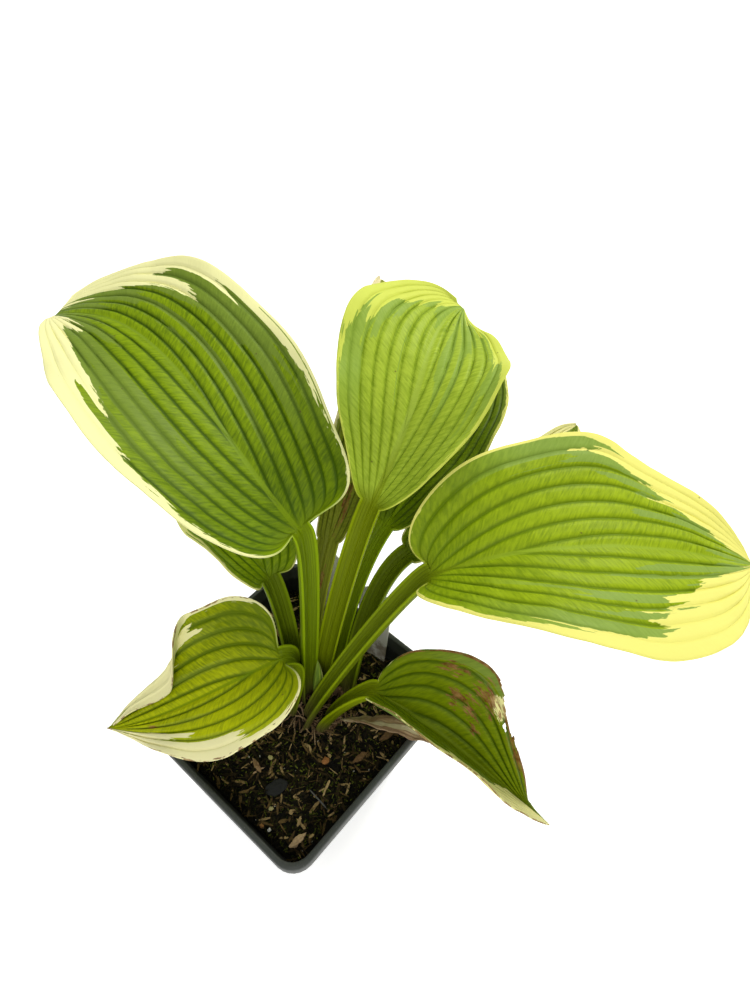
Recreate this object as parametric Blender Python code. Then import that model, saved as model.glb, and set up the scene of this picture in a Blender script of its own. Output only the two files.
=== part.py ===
"""A potted hosta: a square nursery pot of potting mix with a clump of cupped, arching leaves.

Lengths in the design are millimetres and are turned into metres as each mesh is made. +Z is up.
The origin is the centre of the pot's flat base, and the pot's sides run parallel to X and Y.
Each leaf is one solid: a grooved stalk that opens out into its blade.
"""

import math

import bmesh
import bpy
import numpy as np

MM = 0.001
GAP = 0.3  # clearance left between pieces that touch

# Pot
POT_HEIGHT = 100.0
RIM_HALF = 57.0  # half of the outer width across the rim
RIM_FLANGE = 1.7  # how far the rim stands out from the wall
RIM_DEPTH = 8.0
RIM_ROUNDING = 1.0
BASE_HALF = 39.0
WALL = 1.2
CORNER_RADIUS = 9.0
FLOOR_THICKNESS = 1.6
DRAIN_RADIUS = 5.0
DRAIN_OFFSET = 23.0  # from the centre of the base to each drainage hole, along X and Y

# Potting mix and crown
SOIL_LEVEL = 84.0
SOIL_BUMP = 0.7
SOIL_DISH = 1.0  # how much lower the mix lies at the pot's wall
SOIL_RINGS = 8
CORNER_STEPS = 5
CHIP_CLEARANCE = 1.2  # above the mix's middle height under a chip, so that no bump reaches it
CROWN_CENTRE = (4.0, 11.0)
CROWN_RADIUS = 19.0
CROWN_TOP = 85.6
CROWN_DEPTH = 9.0
CROWN_EDGE = 1.2  # height of its widest ring below the top
CROWN_STEPS = 28

# Leaves
STALK_START = CROWN_TOP + 3 * GAP
UPRIGHT = 10.0  # how long a stalk keeps rising straight up from the crown
STALK_HALF_WIDTH = 6.8  # along the curved section, from the midrib to the edge of the groove
STALK_EDGE_SLOPE = 82.0  # degrees: how steeply the groove's edges stand
STALK_OPENING = 0.05  # share of the blade over which the groove flattens out
STALK_SPREAD = 0.12  # share of the blade over which the stalk's width dies away
STALK_THICKNESS = 3.0
FOOT_NARROWING = 0.35
EDGE_THICKNESS = 0.8
LOBE_PLACE = 0.09  # share of the blade's length at which the rounded lobes lie
LOBE_SHAPE = 0.7
RIB_SHARE = 1 / 12  # share of the half width that lies nearly level beside the midrib
THICK_SHARE = 0.2  # share of the blade over which the midrib's thickness dies away
STALK_ROWS = 8
BLADE_ROWS = 15
LAST_ROW = 0.995  # the tip is cut off just short of a point
COLUMNS = 8
SECTION_STEPS = 48  # a multiple of half of any leaf's columns
FLAP_GROWTH = 0.3  # share of the blade over which a folded margin comes in
CREASE_WIDTH = 0.12  # share of the half width over which it turns
MARGIN_WAVE = 2.0  # how far the margin rises and falls
MARGIN_WAVES = 2.75  # how often it does so from base to tip
WAVE_START = 0.2  # share of the blade over which the waves come in

# Every leaf is set by the places of its stalk's foot, of the junction of stalk and blade and of its
# tip, by how far before the junction the stalk turns into the midrib's direction ("approach"), by how
# far the midrib rises above and bows beside the straight line between junction and tip, and by its
# width, roll and cross-section. Right is the right side seen along the midrib from above. A roll is
# positive when that side goes down. "vee" is the slope on both sides of the midrib, and "cup" is how
# much steeper the margin is than that, each at the base, the middle and the tip of the blade. "left"
# and "right" give each side's greatest width, how fast it widens and how fast it narrows.
LEAVES = {
    "leaf_left_large": {
        "foot": (-1, 8), "junction": (-14, 28, 195), "tip": (-167, 28, 222), "approach": 8,
        "rise": (24, 32), "bow": (0, 26), "left": (52, 0.42, 0.62), "right": (46, 0.34, 0.3),
        "lobe": 7, "roll": (0, 0, 0), "vee": (10, 7, 5), "cup": (45, 18, 10),
    },
    "leaf_centre_large": {
        "foot": (2, 16), "junction": (2, 57, 199), "tip": (-28, 152, 225), "approach": 28,
        "rise": (36, 22), "bow": (10, -8), "left": (38, 0.72, 0.55), "right": (35, 0.72, 0.85),
        "lobe": 0, "roll": (-10, 5, 20), "vee": (15, 5, 0), "cup": (35, 20, 10),
    },
    "leaf_right_large": {
        "foot": (9, 0), "junction": (37, 52, 185), "tip": (132, 150, 176), "approach": 10,
        "rise": (34, 24), "bow": (2, 4), "left": (52, 0.7, 0.72), "right": (51, 0.92, 0.85),
        "lobe": 12, "roll": (0, 0, 0), "vee": (15, 0, 0), "cup": (45, 18, 10),
    },
    "leaf_front_left": {
        "foot": (-3, -3), "junction": (-4, 1, 133), "tip": (-46, -69, 115), "approach": 12,
        "rise": (8, 3), "bow": (-4, -8), "left": (37, 0.55, 1.4), "right": (38, 0.5, 0.9),
        "lobe": 6, "roll": (0, 0, 0), "vee": (15, 5, 0), "cup": (40, 15, 10), "columns": 12,
        "flap": {"from": 0.32, "reach": 0.55, "fold": 168},
    },
    "leaf_front_right": {
        "foot": (17, 3), "junction": (35, 20, 122), "tip": (124, 36, 88), "approach": 4,
        "rise": (18, 16), "bow": (0, 4), "left": (42, 1.3, 2.6), "right": (23, 0.85, 1.0),
        "lobe": 4, "roll": (0, 0, 0), "vee": (42, 50, 40), "cup": (20, 20, 10),
    },
    "leaf_rear_left": {
        "foot": (-9, 9), "junction": (-29, 19, 154), "tip": (-88, 16, 176), "approach": 16,
        "rise": (14, 14), "bow": (6, 6), "left": (24, 0.6, 0.9), "right": (24, 0.6, 0.9),
        "lobe": 4, "roll": (0, 0, 0), "vee": (25, 15, 5), "cup": (35, 20, 10),
    },
    "leaf_rear_centre": {
        "foot": (-10, 19), "junction": (-16, 47, 166), "tip": (-89, 166, 204), "approach": 28,
        "rise": (20, 24), "bow": (8, 12), "left": (13, 0.65, 0.65), "right": (20, 0.65, 0.65),
        "lobe": 2, "roll": (0, 0, 0), "vee": (25, 15, 5), "cup": (35, 20, 10),
    },
    "leaf_rear_right": {
        "foot": (3, 25), "junction": (-4, 72, 162), "tip": (-38, 186, 178), "approach": 28,
        "rise": (12, 10), "bow": (12, 18), "left": (24, 0.6, 0.9), "right": (24, 0.6, 0.9),
        "lobe": 2, "roll": (0, 0, 0), "vee": (20, 15, 5), "cup": (35, 20, 10),
    },
    "leaf_rear_far_right": {
        "foot": (15, 23), "junction": (12, 70, 155), "tip": (29, 182, 164), "approach": 20,
        "rise": (10, 10), "bow": (12, 16), "left": (20, 0.6, 0.8), "right": (20, 0.6, 0.8),
        "lobe": 2, "roll": (0, 0, 0), "vee": (25, 15, 5), "cup": (35, 20, 10),
    },
}

# Small pieces on the crown
SHOOT = {"foot": (6.5, 10), "lean": (-4, 6), "height": 30.0, "radius": 2.6, "around": 14, "rings": 10}
STUB = {"foot": (12, 15.5), "height": 9.0, "radius": 4.2, "wall": 1.3}
WITHERED_LEAF = {
    "route": ((23, 10, 89), (34, 15, 97), (56, 22, 113), (78, 34, 101)),
    "half_width": 6.5, "thickness": 0.9, "twist": 70,
}

# Plant labels: plain strips, pushed into the mix
LABEL_WIDTH = 18.0
LABEL_THICKNESS = 0.9
LABEL_LENGTH = 76.0
LABEL_POINT = 20.0  # length of the tapered end
LABEL_CHAMFER = 3.5
LABELS = {
    # name: (middle of its top edge, turn about +Z in degrees, lean backwards in degrees)
    "plant_label_rear": ((-27.0, 54.0, 137.0), 20.0, 8.0),
    "plant_label_right": ((6.0, 54.0, 136.0), 8.0, 7.0),
}

# Coarse pieces lying on the mix: name: (x, y, turn in degrees, (length, width, height))
CHIPS = {
    "bark_chip_front": (40.0, 3.0, 76.0, (10.0, 3.6, 2.4)),
    "bark_chip_left": (6.0, -32.0, -13.0, (9.0, 3.4, 2.2)),
    "bark_chip_right": (43.0, 20.0, 75.0, (12.0, 4.0, 2.4)),
    "bark_chip_rear": (-38.0, 22.0, 20.0, (15.0, 5.0, 2.6)),
    "bark_chip_corner": (44.0, -43.0, 83.0, (10.5, 3.8, 2.4)),
    "pebble_grey": (20.0, -33.0, 66.0, (12.0, 7.5, 2.2)),
    "pebble_tan": (29.0, -9.0, 80.0, (4.4, 3.6, 2.8)),
    "perlite_grain_large": (8.0, -25.0, 10.0, (2.6, 2.3, 2.2)),
}

LEAF_COLOUR = (0.09, 0.22, 0.05)
SHOOT_COLOUR = (0.20, 0.34, 0.07)
WITHERED_COLOUR = (0.25, 0.17, 0.11)
STUB_COLOUR = (0.33, 0.17, 0.09)
CROWN_COLOUR = (0.22, 0.16, 0.09)
SOIL_COLOUR = (0.035, 0.026, 0.018)
POT_COLOUR = (0.022, 0.024, 0.026)
LABEL_COLOUR = (0.62, 0.60, 0.54)
CHIP_COLOURS = {"bark": (0.20, 0.11, 0.06), "pebble": (0.24, 0.22, 0.19), "perlite": (0.72, 0.70, 0.64)}


def clear_scene():
    for thing in list(bpy.data.objects):
        bpy.data.objects.remove(thing, do_unlink=True)


def material(name, colour, roughness, metallic=0.0):
    made = bpy.data.materials.new(name)
    made.use_nodes = True
    shader = made.node_tree.nodes["Principled BSDF"]
    shader.inputs["Base Color"].default_value = (*colour, 1.0)
    shader.inputs["Roughness"].default_value = roughness
    shader.inputs["Metallic"].default_value = metallic
    made.diffuse_color = (*colour, 1.0)
    return made


def solid(name, points, faces, finish, sharp_angle=40.0):
    """A mesh object from points in millimetres, with its faces turned to point outwards."""
    mesh = bpy.data.meshes.new(name)
    mesh.from_pydata((np.asarray(points, float) * MM).tolist(), [], faces)
    work = bmesh.new()
    work.from_mesh(mesh)
    bmesh.ops.recalc_face_normals(work, faces=work.faces)
    work.to_mesh(mesh)
    work.free()
    mesh.shade_smooth()
    mesh.set_sharp_from_angle(angle=math.radians(sharp_angle))
    mesh.materials.append(finish)
    made = bpy.data.objects.new(name, mesh)
    bpy.context.scene.collection.objects.link(made)
    return made


def ease(value):
    """A smooth step from 0 to 1."""
    value = np.clip(value, 0, 1)
    return value * value * (3 - 2 * value)


def summed(values):
    """Each row's running total by the trapezium rule, over a length of 1."""
    steps = (values[:, 1:] + values[:, :-1]) / 2 / (values.shape[1] - 1)
    return np.concatenate([np.zeros((len(values), 1)), np.cumsum(steps, axis=1)], axis=1)


def unit(vectors):
    vectors = np.asarray(vectors, float)
    return vectors / np.maximum(np.linalg.norm(vectors, axis=-1, keepdims=True), 1e-9)


def bezier(control, share):
    """Points and directions of a cubic Bezier curve at the given shares of its parameter."""
    start, first, second, end = (np.asarray(point, float) for point in control)
    u = np.asarray(share, float)[:, None]
    points = (1 - u) ** 3 * start + 3 * (1 - u) ** 2 * u * first + 3 * (1 - u) * u**2 * second + u**3 * end
    slopes = (1 - u) ** 2 * (first - start) + 2 * (1 - u) * u * (second - first) + u**2 * (end - second)
    return points, unit(slopes)


def through_three(values, share):
    """The quadratic that takes the three values at the base, the middle and the tip."""
    base, middle, tip = values
    at_base = (1 - share) * (1 - 2 * share)
    at_middle = 4 * share * (1 - share)
    at_tip = share * (2 * share - 1)
    return base * at_base + middle * at_middle + tip * at_tip


def tube_faces(rows, around, closed_ends=True):
    """Quads between rows of points that each run round a closed loop, with a cap at both ends."""
    faces = []
    for row in range(rows - 1):
        for step in range(around):
            following = (step + 1) % around
            faces.append((row * around + step, row * around + following,
                          (row + 1) * around + following, (row + 1) * around + step))
    if closed_ends:
        faces.append(tuple(range(around))[::-1])
        faces.append(tuple((rows - 1) * around + step for step in range(around)))
    return faces


# ---- Leaves ----

def leaf_curves(leaf):
    """The stalk's and the midrib's Bezier control points; both have one direction at the junction."""
    junction = np.array(leaf["junction"], float)
    tip = np.array(leaf["tip"], float)
    foot = np.array([*leaf["foot"], STALK_START])
    run = tip - junction
    heading = unit([run[0], run[1], 0.0])
    beside = np.array([heading[1], -heading[0], 0.0])
    up = np.array([0.0, 0.0, 1.0])
    first = junction + run / 3 + leaf["rise"][0] * up + leaf["bow"][0] * beside
    second = junction + run * 2 / 3 + leaf["rise"][1] * up + leaf["bow"][1] * beside
    upright = foot + UPRIGHT * up
    approach = junction - unit(first - junction) * leaf["approach"]
    return (foot, upright, approach, junction), (junction, first, second, tip), beside


def leaf_frames(leaf, lengthwise):
    """The centre line of a leaf from foot (-1) over the junction (0) to tip (1), with its side and
    upper directions."""
    stalk, midrib, beside = leaf_curves(leaf)
    stalk_points, stalk_along = bezier(stalk, np.clip(lengthwise + 1, 0, 1))
    rib_points, rib_along = bezier(midrib, np.clip(lengthwise, 0, 1))
    on_blade = (lengthwise > 0)[:, None]
    points = np.where(on_blade, rib_points, stalk_points)
    along = np.where(on_blade, rib_along, stalk_along)
    side = unit(beside - (along @ beside)[:, None] * along)
    face = np.cross(side, along)
    share = np.clip(lengthwise, 0, 1)
    roll = np.radians(through_three(leaf["roll"], share)) * np.clip(1 + lengthwise, 0, 1)
    turn = roll[:, None]
    turned_side = side * np.cos(turn) - face * np.sin(turn)
    turned_face = face * np.cos(turn) + side * np.sin(turn)
    return points, along, turned_side, turned_face


def blade_width(side, share):
    """One side's width from the midrib to the margin, 0 at base and tip."""
    greatest, rise, fall = side
    widest = rise / (rise + fall)
    return greatest * (share / widest) ** rise * ((1 - share) / (1 - widest)) ** fall


def cross_section(leaf, share, across):
    """The sheet's shape across a leaf of half width 1: sideways and upward places on the grid.

    The slope is added up from the midrib to the margin. It is steep all over in the stalk's groove.
    """
    reach = np.linspace(0, 1, SECTION_STEPS + 1)
    groove = np.exp(-share / STALK_OPENING)
    vee = np.radians(through_three(leaf["vee"], share)) * (1 - groove)
    cup = np.radians(through_three(leaf["cup"], share)) * (1 - groove)
    cup += math.radians(STALK_EDGE_SLOPE) * groove
    slope = vee[:, None] * np.clip(reach / RIB_SHARE, 0, 1) + cup[:, None] * reach
    folded = slope.copy()
    if "flap" in leaf:
        flap = leaf["flap"]
        grown = ease((share - flap["from"]) / FLAP_GROWTH)
        crease = 1 - (1 - flap["reach"]) * grown
        turned = ease((reach - crease[:, None]) / CREASE_WIDTH)
        folded += math.radians(flap["fold"]) * grown[:, None] * turned
    places = np.rint(np.abs(across) * SECTION_STEPS).astype(int)
    right = (across > 0)[None, :]
    sideways = np.where(right, summed(np.cos(folded))[:, places], -summed(np.cos(slope))[:, places])
    upward = np.where(right, summed(np.sin(folded))[:, places], summed(np.sin(slope))[:, places])
    return sideways, upward


def foot_taper(lengthwise):
    """A stalk is narrower at its foot, where all of them crowd together."""
    return 1 - FOOT_NARROWING * np.clip(-lengthwise, 0, 1) ** 3


def leaf_surface(leaf, lengthwise, across):
    """The leaf's middle surface and its upper direction on a grid of rows and columns."""
    points, along, side, face = leaf_frames(leaf, lengthwise)
    share = np.clip(lengthwise, 0, 1)
    stalk_width = STALK_HALF_WIDTH * np.exp(-share / STALK_SPREAD) * foot_taper(lengthwise)
    left_width = stalk_width + blade_width(leaf["left"], share)
    right_width = stalk_width + blade_width(leaf["right"], share)
    width = np.where(across[None, :] > 0, right_width[:, None], left_width[:, None])
    x, z = cross_section(leaf, share, across)
    x = x * width
    z = z * width
    lobe = (share / LOBE_PLACE * np.exp(1 - share / LOBE_PLACE)) ** LOBE_SHAPE
    pull = leaf["lobe"] * lobe[:, None] * across[None, :] ** 2
    wave = MARGIN_WAVE * np.sin(2 * math.pi * MARGIN_WAVES * share + leaf["left"][0])
    wave = wave * np.clip(share / WAVE_START, 0, 1)
    z = z + wave[:, None] * across[None, :] ** 3
    middle = points[:, None] + side[:, None] * x[..., None] + face[:, None] * z[..., None]
    middle = middle - along[:, None] * pull[..., None]
    rows = np.gradient(middle, axis=0)
    columns = np.gradient(middle, axis=1)
    return middle, unit(np.cross(columns, rows))


def leaf_thickness(lengthwise, across):
    """Thick along the stalk's middle and the midrib, thin at the margin."""
    share = np.clip(lengthwise, 0, 1)[:, None]
    extra = (STALK_THICKNESS - EDGE_THICKNESS) * np.exp(-share / THICK_SHARE)
    return EDGE_THICKNESS + extra * (1 - np.abs(across[None, :]) ** 1.5)


def make_leaf(name, leaf, finish):
    stalk = np.linspace(-1, 0, STALK_ROWS, endpoint=False)
    blade = (1 - np.cos(np.linspace(0, math.pi, BLADE_ROWS))) / 2 * LAST_ROW
    lengthwise = np.concatenate([stalk, blade])
    columns = leaf.get("columns", COLUMNS)
    across = np.linspace(-1, 1, columns + 1)
    middle, normal = leaf_surface(leaf, lengthwise, across)
    half = 0.5 * leaf_thickness(lengthwise, across)[..., None] * normal
    upper = middle + half
    lower = (middle - half)[:, ::-1]
    rows = np.concatenate([upper, lower], axis=1)
    count, around = rows.shape[:2]
    faces = tube_faces(count, around, closed_ends=False)
    for row in (0, count - 1):
        for step in range(columns):
            low = row * around + around - 1 - step
            faces.append((row * around + step, row * around + step + 1, low - 1, low))
    return solid(name, rows.reshape(-1, 3), faces, finish, sharp_angle=60.0)


# ---- Pot, mix and crown ----

def rounded_square(half, radius, height):
    """A square with rounded corners as a loop of points, seen anticlockwise from above."""
    corner = np.radians(np.linspace(0, 90, CORNER_STEPS + 1))
    points = []
    for quarter in range(4):
        turn = quarter * math.pi / 2
        x = half - radius + radius * np.cos(corner)
        y = half - radius + radius * np.sin(corner)
        points.append(np.stack([x * math.cos(turn) - y * math.sin(turn),
                                x * math.sin(turn) + y * math.cos(turn)], axis=1))
    flat = np.concatenate(points)
    return np.column_stack([flat, np.full(len(flat), height)])


def wall_half(height):
    """Half of the pot's outer width below the rim, at a height."""
    top = RIM_HALF - RIM_FLANGE
    return BASE_HALF + (top - BASE_HALF) * height / POT_HEIGHT


def cut(target, cutter):
    """Takes the cutter's shape out of the target; the cutter itself is never rendered."""
    cutter.hide_render = True
    cutter.display_type = "WIRE"
    difference = target.modifiers.new("cut_" + cutter.name, "BOOLEAN")
    difference.operation = "DIFFERENCE"
    difference.object = cutter


def cylinder(name, centre, radius, low, high, finish, sides=24):
    angle = np.linspace(0, 2 * math.pi, sides, endpoint=False)
    ring = np.stack([centre[0] + radius * np.cos(angle), centre[1] + radius * np.sin(angle)], axis=1)
    loops = [np.column_stack([ring, np.full(sides, height)]) for height in (low, high)]
    return solid(name, np.concatenate(loops), tube_faces(2, sides), finish)


def make_pot(finish):
    """A thin tapered shell with a flanged rim, turned over at the top, and four drainage holes."""
    inside = wall_half(FLOOR_THICKNESS) - WALL
    top = RIM_HALF - RIM_FLANGE - WALL
    profile = [
        (BASE_HALF - 1.0, CORNER_RADIUS - 1.0, 0.0),
        (BASE_HALF, CORNER_RADIUS, 1.0),
        (wall_half(POT_HEIGHT - RIM_DEPTH), CORNER_RADIUS, POT_HEIGHT - RIM_DEPTH),
        (RIM_HALF - 0.4, CORNER_RADIUS + 1.5, POT_HEIGHT - RIM_DEPTH),
        (RIM_HALF, CORNER_RADIUS + 1.5, POT_HEIGHT - RIM_ROUNDING),
        (RIM_HALF - RIM_ROUNDING, CORNER_RADIUS + 1.0, POT_HEIGHT),
        (top + 0.7 * RIM_ROUNDING, CORNER_RADIUS, POT_HEIGHT),
        (top, CORNER_RADIUS - 0.5, POT_HEIGHT - RIM_ROUNDING),
        (inside, CORNER_RADIUS - 1.0, FLOOR_THICKNESS),
    ]
    loops = [rounded_square(*place) for place in profile]
    pot = solid("nursery_pot", np.concatenate(loops), tube_faces(len(loops), len(loops[0])), finish, 30.0)
    for x in (-DRAIN_OFFSET, DRAIN_OFFSET):
        for y in (-DRAIN_OFFSET, DRAIN_OFFSET):
            name = f"drain_{'left' if x < 0 else 'right'}_{'front' if y < 0 else 'back'}"
            cut(pot, cylinder(name, (x, y), DRAIN_RADIUS, -2.0, FLOOR_THICKNESS + 2.0, finish))
    return pot


def soil_height(x, y):
    """The mix's uneven top: broad swells and a finer ripple."""
    swells = np.sin(0.23 * x + 1.3) * np.cos(0.19 * y - 0.4)
    ripple = 0.6 * np.sin(0.41 * x - 0.33 * y)
    return SOIL_LEVEL + SOIL_BUMP * (swells + ripple)


def make_soil(finish):
    """The mix fills the pot, a gap clear of its wall, and is dished by its uneven top."""
    inside = wall_half(FLOOR_THICKNESS) - WALL
    top = RIM_HALF - RIM_FLANGE - WALL
    filled = (SOIL_LEVEL - FLOOR_THICKNESS) / (POT_HEIGHT - RIM_ROUNDING - FLOOR_THICKNESS)
    edge = inside + (top - inside) * filled
    loops = [rounded_square(inside - 2 * GAP, CORNER_RADIUS - 1.4, FLOOR_THICKNESS + GAP)]
    for share in np.linspace(1, 0.1, SOIL_RINGS):
        loop = rounded_square((edge - 1.5 * GAP) * share, (CORNER_RADIUS - 1.0) * share, 0)
        settled = np.clip((1 - share) * 5, 0, 1)
        low = SOIL_LEVEL - SOIL_DISH
        loop[:, 2] = low + (soil_height(loop[:, 0], loop[:, 1]) - low) * settled
        loops.append(loop)
    return solid("potting_mix", np.concatenate(loops), tube_faces(len(loops), len(loops[0])), finish, 30.0)


def crown_shape(name, finish, spare):
    """The lumpy knob that the stalks grow from; spare makes it larger all round."""
    angle = np.linspace(0, 2 * math.pi, CROWN_STEPS, endpoint=False)
    lumps = 1 + 0.05 * np.sin(5 * angle) + 0.03 * np.cos(3 * angle)
    rings = [
        (-CROWN_DEPTH - spare, 0.55),
        (-0.6 * CROWN_DEPTH - spare, 0.9),
        (-CROWN_EDGE, 1.0),
        (spare, 0.93),
    ]
    loops = []
    for height, share in rings:
        radius = CROWN_RADIUS * share * lumps + spare
        x = CROWN_CENTRE[0] + radius * np.cos(angle)
        y = CROWN_CENTRE[1] + radius * np.sin(angle)
        loops.append(np.column_stack([x, y, np.full(CROWN_STEPS, CROWN_TOP + height)]))
    return solid(name, np.concatenate(loops), tube_faces(len(loops), CROWN_STEPS), finish)


# ---- Small pieces ----

def make_shoot(finish):
    """A new leaf still rolled into a spear, with the lip of the roll standing out at one side."""
    foot = np.array([*SHOOT["foot"], STALK_START])
    lean = np.array([*SHOOT["lean"], SHOOT["height"]])
    around = SHOOT["around"]
    angle = np.linspace(0, 2 * math.pi, around, endpoint=False)
    loops = []
    for share in np.linspace(0, 1, SHOOT["rings"]):
        size = SHOOT["radius"] * (0.75 + 0.45 * math.sin(math.pi * share * 0.8)) * (1 - share**3 * 0.85)
        lip = 1 + 0.22 * np.exp(-((angle - 4.0 - share) / 0.35) ** 2)
        centre = foot + lean * np.array([share**1.3, share**1.3, share])
        x = centre[0] + size * lip * np.cos(angle)
        y = centre[1] + size * lip * np.sin(angle)
        loops.append(np.column_stack([x, y, np.full(around, centre[2])]))
    return solid("new_shoot", np.concatenate(loops), tube_faces(len(loops), around), finish)


def make_stub(finish):
    """The cut foot of an old stalk: a short open horseshoe."""
    x, y = STUB["foot"]
    outer, inner = STUB["radius"], STUB["radius"] - STUB["wall"]
    sweep = np.radians(np.linspace(-35, 215, 13))
    outline = np.concatenate([
        np.column_stack([x + outer * np.cos(sweep), y + outer * np.sin(sweep)]),
        np.column_stack([x + inner * np.cos(sweep[::-1]), y + inner * np.sin(sweep[::-1])]),
    ])
    loops = [np.column_stack([outline, np.full(len(outline), level)])
             for level in (STALK_START, STALK_START + STUB["height"])]
    return solid("old_stalk_stub", np.concatenate(loops), tube_faces(2, len(outline)), finish)


def make_withered_leaf(finish):
    """A dry, shrunken leaf: a creased strip that twists as it hangs over the rim."""
    share = np.linspace(0, 1, 18)
    points, along = bezier(WITHERED_LEAF["route"], share)
    side = unit(np.cross(along, (0, 0, 1)))
    face = np.cross(side, along)
    turn = np.radians(WITHERED_LEAF["twist"]) * (1 - share)
    across = np.linspace(-1, 1, 5)
    fullness = np.sin(math.pi * np.clip(share * 1.15, 0, 1)) ** 0.8
    width = WITHERED_LEAF["half_width"] * (0.35 + 0.65 * fullness)
    crease = 0.30 * np.abs(across)[None, :] * width[:, None]
    crease = crease + 0.5 * np.sin(9 * share)[:, None] * across[None, :] ** 2
    right = side * np.cos(turn)[:, None] + face * np.sin(turn)[:, None]
    up = face * np.cos(turn)[:, None] - side * np.sin(turn)[:, None]
    beside = across[None, :] * width[:, None]
    middle = points[:, None] + right[:, None] * beside[..., None] + up[:, None] * crease[..., None]
    half = WITHERED_LEAF["thickness"] / 2 * up[:, None]
    rows = np.concatenate([middle + half, (middle - half)[:, ::-1]], axis=1)
    return solid("withered_leaf", rows.reshape(-1, 3), tube_faces(len(share), 10), finish, 60.0)


def label_outline(spare):
    """A strip with two chamfered upper corners and a tapered foot, its top edge's middle at 0, 0."""
    half = LABEL_WIDTH / 2 + spare
    chamfer = LABEL_CHAMFER
    low = -LABEL_LENGTH - spare
    return [(-half + chamfer, spare), (-half, -chamfer), (-half, low + LABEL_POINT), (-2.0 - spare, low),
            (2.0 + spare, low), (half, low + LABEL_POINT), (half, -chamfer), (half - chamfer, spare)]


def label_shape(name, place, finish, spare=0.0):
    """A flat plate of the label's outline, leaning and turned, with spare room when it cuts a slot."""
    top, turn, lean = place
    turned, leaned = math.radians(turn), math.radians(lean)
    wide = np.array([math.cos(turned), math.sin(turned), 0.0])
    level = np.array([-wide[1], wide[0], 0.0])
    up = level * math.sin(leaned) + np.array([0.0, 0.0, math.cos(leaned)])
    through = np.cross(wide, up) * (LABEL_THICKNESS / 2 + spare)
    flat = np.array([np.array(top) + wide * x + up * y for x, y in label_outline(spare)])
    return solid(name, np.concatenate([flat - through, flat + through]), tube_faces(2, len(flat)), finish)


def make_chip(name, place, finish, seed):
    """A rough lump that lies flat on the mix: a ball with few faces, flattened and knocked about."""
    x, y, turn, size = place
    shape = bmesh.new()
    bmesh.ops.create_icosphere(shape, subdivisions=1, radius=0.5)
    points = np.array([vertex.co for vertex in shape.verts])
    faces = [[vertex.index for vertex in face.verts] for face in shape.faces]
    shape.free()
    points *= 1 + np.random.default_rng(seed).uniform(-0.12, 0.12, (len(points), 1))
    points = np.sign(points) * np.abs(points * 2) ** 0.7 / 2 * np.array(size)
    turned = math.radians(turn)
    level = soil_height(x, y) + size[2] / 2 + CHIP_CLEARANCE
    placed = np.column_stack([x + points[:, 0] * math.cos(turned) - points[:, 1] * math.sin(turned),
                              y + points[:, 0] * math.sin(turned) + points[:, 1] * math.cos(turned),
                              level + points[:, 2]])
    return solid(name, placed, faces, finish)


def main():
    clear_scene()
    leaf_finish = {name: material(name, LEAF_COLOUR, 0.42) for name in LEAVES}
    for name, leaf in LEAVES.items():
        make_leaf(name, leaf, leaf_finish[name])
    make_pot(material("nursery_pot", POT_COLOUR, 0.45))
    soil = make_soil(material("potting_mix", SOIL_COLOUR, 0.95))
    crown_finish = material("crown", CROWN_COLOUR, 0.8)
    crown_shape("crown", crown_finish, 0.0)
    cut(soil, crown_shape("crown_pocket", crown_finish, GAP))
    make_shoot(material("new_shoot", SHOOT_COLOUR, 0.4))
    make_stub(material("old_stalk_stub", STUB_COLOUR, 0.8))
    make_withered_leaf(material("withered_leaf", WITHERED_COLOUR, 0.85))
    for name, place in LABELS.items():
        label_finish = material(name, LABEL_COLOUR, 0.5)
        label_shape(name, place, label_finish)
        cut(soil, label_shape(name + "_slot", place, label_finish, GAP))
    for seed, (name, place) in enumerate(CHIPS.items()):
        kind = name.split("_")[0]
        make_chip(name, place, material(name, CHIP_COLOURS[kind], 0.9), seed)


main()
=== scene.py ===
"""A potted hosta as it looks: veined, cream-edged leaves on grooved stalks in a square nursery pot.

Designed lengths are millimetres, with the origin at the middle of the pot's base, and become metres
as each mesh is made. A leaf's places are lengthwise (-1 the stalk's foot, 0 its junction with the
blade, 1 the tip) and across (-1 the left margin, 0 the midrib, 1 the right margin).
"""

import math

import bmesh
import bpy
import numpy as np
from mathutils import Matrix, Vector
from mathutils import noise as hills


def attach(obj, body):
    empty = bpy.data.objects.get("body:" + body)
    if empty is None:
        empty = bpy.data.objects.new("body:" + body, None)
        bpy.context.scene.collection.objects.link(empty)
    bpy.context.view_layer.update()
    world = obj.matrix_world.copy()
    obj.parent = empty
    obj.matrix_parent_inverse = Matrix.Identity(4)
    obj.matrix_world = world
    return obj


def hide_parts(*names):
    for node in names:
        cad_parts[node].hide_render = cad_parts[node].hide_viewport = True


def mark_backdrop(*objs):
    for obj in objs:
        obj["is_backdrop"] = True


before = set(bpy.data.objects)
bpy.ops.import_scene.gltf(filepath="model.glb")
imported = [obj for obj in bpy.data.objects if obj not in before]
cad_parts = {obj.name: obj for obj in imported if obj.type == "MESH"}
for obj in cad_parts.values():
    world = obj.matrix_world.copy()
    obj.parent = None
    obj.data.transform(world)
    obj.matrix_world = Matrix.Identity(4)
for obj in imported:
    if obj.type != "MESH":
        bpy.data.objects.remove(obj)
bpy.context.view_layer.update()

MM = 0.001

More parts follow.
